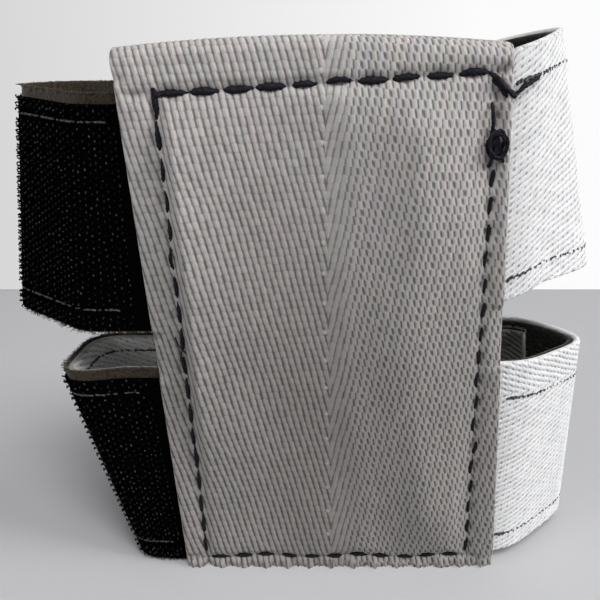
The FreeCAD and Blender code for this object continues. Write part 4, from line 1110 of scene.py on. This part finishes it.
for band in ("upper", "lower"):
    strap = straps[(band, "hook")]
    body = band + "_hook_strap"
    rng = np.random.default_rng(21 if band == "upper" else 22)

    # The webbing shows its inner face, so its ribs are on that side.
    def inner_relief(up, along, face):
        return -webbing_relief(up, along, 1 - face, strap)

    part = strap.ribbon(FELT_DEPTH, STRAP_THICKNESS, strap_step, weave_step, inner_relief,
                        high=CLOTH_BELOW_FELT[band], rows_step=weave_step)
    webbing = make_piece(body + "_cloth", part, hook_cloth, [body + "_webbing"])
    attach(webbing, body)

    part = strap.ribbon(TAPE_DEPTH, FELT_DEPTH, strap_step, strap_step, felt_relief)
    backing = make_piece(body + "_felt", part, felt, [body + "_backing"])
    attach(backing, body)

    # Hooks stand in rows on the tape, apart from two lanes where the seams press them down.
    part = strap.ribbon(0.0, TAPE_DEPTH, strap_step, strap_step, tape_relief, *TAPE_INSETS)
    tape = make_piece(band + "_tape_base", part, tape_paint, [band + "_hook_tape"])
    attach(tape, body)
    spread = 1.0
    columns = np.arange(HOOKS_BEGIN, strap.length - HOOKS_END, HOOK_PITCH_ALONG * spread)
    rows = np.arange(HOOKS_LOW, STRAP_WIDTH - HOOKS_HIGH, HOOK_PITCH_UP * spread)
    along, up = (grid.ravel() for grid in np.meshgrid(columns, rows, indexing="ij"))
    column_number = np.round((along - columns[0]) / (HOOK_PITCH_ALONG * spread))
    along = along + rng.normal(0, 0.06, len(along))
    up = up + 0.5 * HOOK_PITCH_UP * (column_number % 2) + rng.normal(0, 0.07, len(up))
    open_place = np.minimum(abs(up - HOOK_SEAM_INSET), abs(STRAP_WIDTH - HOOK_SEAM_INSET - up)) > SEAM_LANE
    keep = open_place & (rng.uniform(size=len(up)) > 0.04)
    along, up, column_number = along[keep], up[keep], column_number[keep]
    way = np.where(column_number % 2 > 0, 1.0, -1.0)[:, None] * rng.uniform(0.7, 1.2, len(up))[:, None]
    tall = rng.uniform(0.88, 1.05, len(up))[:, None]
    bend_along = rng.normal(0, 0.06, (len(up), 1)) * HOOK_TWIST
    steps = np.stack([bend_along, way * HOOK_SIDEWAYS, tall * HOOK_DEPTHS], -1)
    part = filaments(strap, along, up, steps, HOOK_RADIUS, around=6)
    hooks = make_piece(band + "_tape_hooks", part, hook_paint)
    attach(hooks, body)

    # Loose fibres stand out of the felt's two cut edges.
    count = 2200
    along, side = rng.uniform(2.8, strap.length - 0.3, count), rng.integers(0, 2, count)
    up = np.where(side > 0, STRAP_WIDTH - 0.15, 0.15)
    outward = np.where(side > 0, 0.55, -1.0) * rng.uniform(0.1, 0.48, count)
    outward = np.where((side == 0) & (band == "lower"), np.abs(outward) * 0.2, outward)
    lean = rng.normal(0, 0.35, count)
    start = rng.uniform(0.35, 0.85, count)
    out = rng.normal(-0.15, 0.25, count)
    share = np.linspace(0, 1, 4)[None, :]
    steps = np.stack([lean[:, None] * share ** 1.5, outward[:, None] * share,
                      start[:, None] + out[:, None] * share ** 2], -1)
    part = filaments(strap, along, up, steps, FIBRE_RADIUS)
    fringe = make_piece(body + "_fringe", part, fluff_paint)
    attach(fringe, body)

    seam_end = strap.length - SEAM_STOPS
    parts = []
    for hook_side, skin_side in ((HOOK_SEAM_INSET, SKIN_SEAM_INSET),
                                 (STRAP_WIDTH - HOOK_SEAM_INSET, STRAP_WIDTH - SKIN_SEAM_INSET)):
        parts += seam_on(strap, skin_side, SKIN_SEAM_BEGINS, seam_end, STRAP_THICKNESS, 1, 0.25, rng,
                         1.25, 0.12)
        parts += seam_on(strap, hook_side, HOOK_SEAM_BEGINS, seam_end, 0.0, -1, 0.22, rng, 1.35, 0.08)
    seams = make_piece(body + "_seams", gather(parts), seam_paint, [body + "_stitching"])
    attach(seams, body)

    # The sewn-in end lies flat between the panel's layers. The real one is the webbing itself, run on.
    base = BASES[band]["hook"]
    up, deep, face = cloth_ring(STRAP_WIDTH, STRAP_THICKNESS - 2 * TAIL_ROOM, strap_step, strap_step, 0.4)
    rows = np.linspace(0.0, TAIL_REACH, round(TAIL_REACH / strap_step))
    inward, height = np.meshgrid(rows, up + base, indexing="ij")
    edge = -HALF_WIDTH + TAIL_BEGINS - PANEL_LEAN * height / PANEL_HEIGHT
    depth_in = CLOTH_THICKNESS + TAIL_ROOM + np.broadcast_to(deep, height.shape)
    above_turn = height - base - RIBS_TURN[band + "_hook"]
    ribs = herringbone(above_turn, inward, STRAP_PITCH, STRAP_RIB_LEAN, STRAP_FLOAT)[0]
    points = np.stack([edge + inward, depth_in - 0.08 * (ribs - 0.7) * face, height], -1)
    weave = np.stack([above_turn, inward, 1 - np.broadcast_to(face, height.shape)], -1)
    part = (points, ring_faces(*height.shape), weave)
    tail = make_piece(body + "_sewn_end", part, hook_cloth, [body + "_tail"])
    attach(tail, "cuff_front")


# Loop straps. Each is pale grey herringbone webbing lined with black brushed loop, sewn together along both
# edges. It leaves the panel on the right, turns round the wrist over the hook strap and ends behind, near the
# left turn. Past the right-hand turn it peels off.
LOOP_CLOTH_DEPTH = 1.0
LINING_INSET = 0.3
LOOP_SEAMS = {"upper": (3.4, 4.3), "lower": (3.4, 5.9)}
OUTER_SEAM_BEGINS, INNER_SEAM_BEGINS = 16.6, 18.0
FLAP_SETBACK = 2.0
PILE_BEGINS, PILE_ENDS = 17.0, 0.4
PILE_INSET = 0.6
PILE_SEAT = 1.85
SNAP_ACROSS, SNAP_HEIGHT = -2.0, 60.25
EYELET_RADIUS = 3.8
EYELET_ROOM = 0.25
EYELET_SLOPE = 0.3
EYELET_HOLLOW = 0.85
EYELET_CLEAR = 0.6
HINGE_REACH = 1.4
HINGE_TILT = 0.10

loop_cloth = webbing_paint("loop_strap_cloth", (0.65, 0.65, 0.655), (0.53, 0.53, 0.535), (0.25, 0.25, 0.258),
                           0.35, shows_inside=False)

PILE_DARK, PILE_PALE, PILE_LINE = (0.0025, 0.0025, 0.0022), (0.021, 0.021, 0.016), (0.003, 0.003, 0.003)
pile, tree, shader, (pile_up, pile_along, pile_face) = paint("loop_lining", 0.9, 0.15)
nap = speckle(tree, triple(tree, pile_up * 1.8, pile_along * 1.3, pile_face), 1.0, 5.0)
lines = sine(pile_up * 2 * math.pi / 0.9) * 0.5 + 0.5
pile_colour = mixed(tree, ramp(nap, 0.3, 0.7), PILE_DARK, PILE_PALE)
pile_colour = mixed(tree, lines * 0.35, pile_colour, PILE_LINE)
finish_paint(tree, shader, pile_colour, nap + lines * 0.2, 0.20)


def pile_relief(up, along, face):
    """Brushed loops matted into small tufts, on the side away from the webbing."""
    tufts = np.sin(along * 5.1 + 1.3 * np.sin(up * 2.2)) * np.sin(up * 6.3 + 1.1 * np.sin(along * 2.9))
    return -0.07 * tufts * (1 - face)


def off_eyelet(strap, along, up):
    """How far places on a loop strap are from the rim of the eyelet, which only the upper strap has."""
    if strap.band == "lower":
        return np.full(np.shape(up), np.inf)
    place = strap.at(along, up, STRAP_THICKNESS)
    return np.hypot(place[..., 0] - SNAP_ACROSS, place[..., 2] - SNAP_HEIGHT) - EYELET_RADIUS


def bend_at_hinge(piece, band):
    """Look up the flap's hinge and bake the piece's placement into its mesh; the cloth is not split or bent.
    """
    joint = next(entry for entry in frame["joints"] if entry["name"] == band + "_flap_peel")
    axis = np.array(joint["axis"])
    backward = np.array([-HINGE_TILT, 1.0, 0.0])
    backward = backward - axis * (backward @ axis)
    backward *= HINGE_REACH * MM / np.linalg.norm(backward)
    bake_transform(piece)


for band in ("upper", "lower"):
    strap = straps[(band, "loop")]
    side, flap = band + "_loop_side_", band + "_flap_"
    rng = np.random.default_rng(31 if band == "upper" else 32)

    def outer_relief(up, along, face):
        return webbing_relief(up, along, face, strap)

    def lining_relief(up, along, face):
        off = off_eyelet(strap, along, up)
        hollow = EYELET_HOLLOW * ramp(-off, -EYELET_ROOM - EYELET_SLOPE, -EYELET_ROOM)
        return pile_relief(up, along, face) + hollow * (1 - face)

    part = strap.ribbon(0.0, LOOP_CLOTH_DEPTH, weave_step * 0.85, strap_step * 2, outer_relief)
    webbing = make_piece(band + "_loop_strap_cloth", part, loop_cloth,
                         [side + "webbing", flap + "webbing"])
    bend_at_hinge(webbing, band)

    part = strap.ribbon(LOOP_CLOTH_DEPTH, STRAP_THICKNESS, strap_step, strap_step, lining_relief,
                        LINING_INSET, LINING_INSET)
    lining = make_piece(band + "_loop_strap_pile", part, pile,
                        [side + "lining", flap + "lining"])
    bend_at_hinge(lining, band)

    # Loose loops of the pile: small arcs that stand on the lining.
    count = 6000
    along = rng.uniform(PILE_BEGINS, strap.length - PILE_ENDS, count)
    up = rng.uniform(PILE_INSET, STRAP_WIDTH - PILE_INSET, count)
    clear = off_eyelet(strap, along, up) > EYELET_CLEAR
    along, up = along[clear], up[clear]
    count = len(up)
    heading = rng.uniform(0, 2 * math.pi, count)
    reach = rng.uniform(0.15, 0.45, count)
    arc = np.linspace(0, math.pi, 5)[None, :]
    steps = np.stack([(np.cos(heading) * reach)[:, None] * (1 - np.cos(arc)),
                      (np.sin(heading) * reach)[:, None] * (1 - np.cos(arc)),
                      PILE_SEAT + 0.26 * np.sin(arc) * rng.uniform(0.5, 1.0, count)[:, None]], -1)
    steps[..., 1] = np.clip(up[:, None] + steps[..., 1], 0.4, STRAP_WIDTH - 0.4) - up[:, None]
    steps[..., 0] = np.minimum(along[:, None] + steps[..., 0], strap.length - 0.2) - along[:, None]
    part = filaments(strap, along, up, steps, FIBRE_RADIUS, around=3)
    loops = make_piece(band + "_loop_strap_loops", part, pile)
    bend_at_hinge(loops, band)

    seam_end = strap.length - FLAP_SETBACK
    low, high = LOOP_SEAMS[band]
    parts = []
    for up in (low, STRAP_WIDTH - high):
        parts += seam_on(strap, up, OUTER_SEAM_BEGINS, seam_end, 0.0, -1, 0.20, rng, 0.95, 0.24, 1.9)
        parts += seam_on(strap, up, INNER_SEAM_BEGINS, seam_end, STRAP_THICKNESS, 1, 0.17, rng)
    seams = make_piece(band + "_loop_strap_seams", gather(parts), seam_paint,
                       [side + "stitching", flap + "stitching"])
    bend_at_hinge(seams, band)

# The panel's thick thread runs on from the locked corner over the upper strap for a few millimetres.
strap = straps[("upper", "loop")]
row = STRAP_WIDTH - LOOP_SEAMS["upper"][1]
parts = []
for lift, sway, radius in ((-0.45, 0.0, 0.30), (-0.25, 0.25, 0.22)):
    knots = [(15.3, row - 1.75 + sway, lift + 0.15), (16.3, row - 1.35 - sway, lift),
             (17.4, row - 0.75 + sway, lift - 0.1), (18.5, row - 0.45 - sway, lift),
             (19.7, row - 0.35 + 0.5 * sway, lift + 0.25), (20.6, row - 0.15, 0.25)]
    path = smooth_line(knots, 40)
    threads = [twisted_thread(path, radius)] + thread_hairs(path, radius, rng, 12)
    parts += [on_strap(strap, thread) for thread in threads]
corner_thread = make_piece("corner_thread", gather(parts), thread_paint)
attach(corner_thread, "cuff_front")


# Ground snap. A pressed brass stud, nickel plated, is set through the back of the upper flap and clinched
# inside by an eyelet. Both keep their solids and get the worn plate of a snap that is used daily.
NICKEL, BRASS = (0.62, 0.61, 0.58), (0.50, 0.45, 0.36)
plate = bpy.data.materials.new("snap_metal")
plate.use_nodes = True
tree = plate.node_tree
shader = tree.nodes["Principled BSDF"]
shader.inputs["Metallic"].default_value = 1.0
place = tree.nodes.new("ShaderNodeTexCoord")


def magnified(scale):
    """Places on the solid, larger by this much each way: a fine grain needs a large scale."""
    node = tree.nodes.new("ShaderNodeMapping")
    node.inputs["Scale"].default_value = scale
    tree.links.new(place.outputs["Object"], node.inputs["Vector"])
    return node.outputs[0]


scuffs = speckle(tree, magnified((900, 900, 900)), 1.0, 5.0)
brushing = speckle(tree, magnified((300, 300, 6000)), 1.0, 2.0)
tree.links.new((scuffs * 0.22 + brushing * 0.16 + 0.08).socket, shader.inputs["Roughness"])
finish_paint(tree, shader, mixed(tree, ramp(scuffs, 0.55, 0.75) * 0.6, NICKEL, BRASS),
             scuffs * 0.5 + brushing * 0.5, 0.01)
for node in ("ground_snap_stud", "ground_snap_eyelet"):
    for slot in frame["nodes"][node].material_slots:
        slot.material = plate
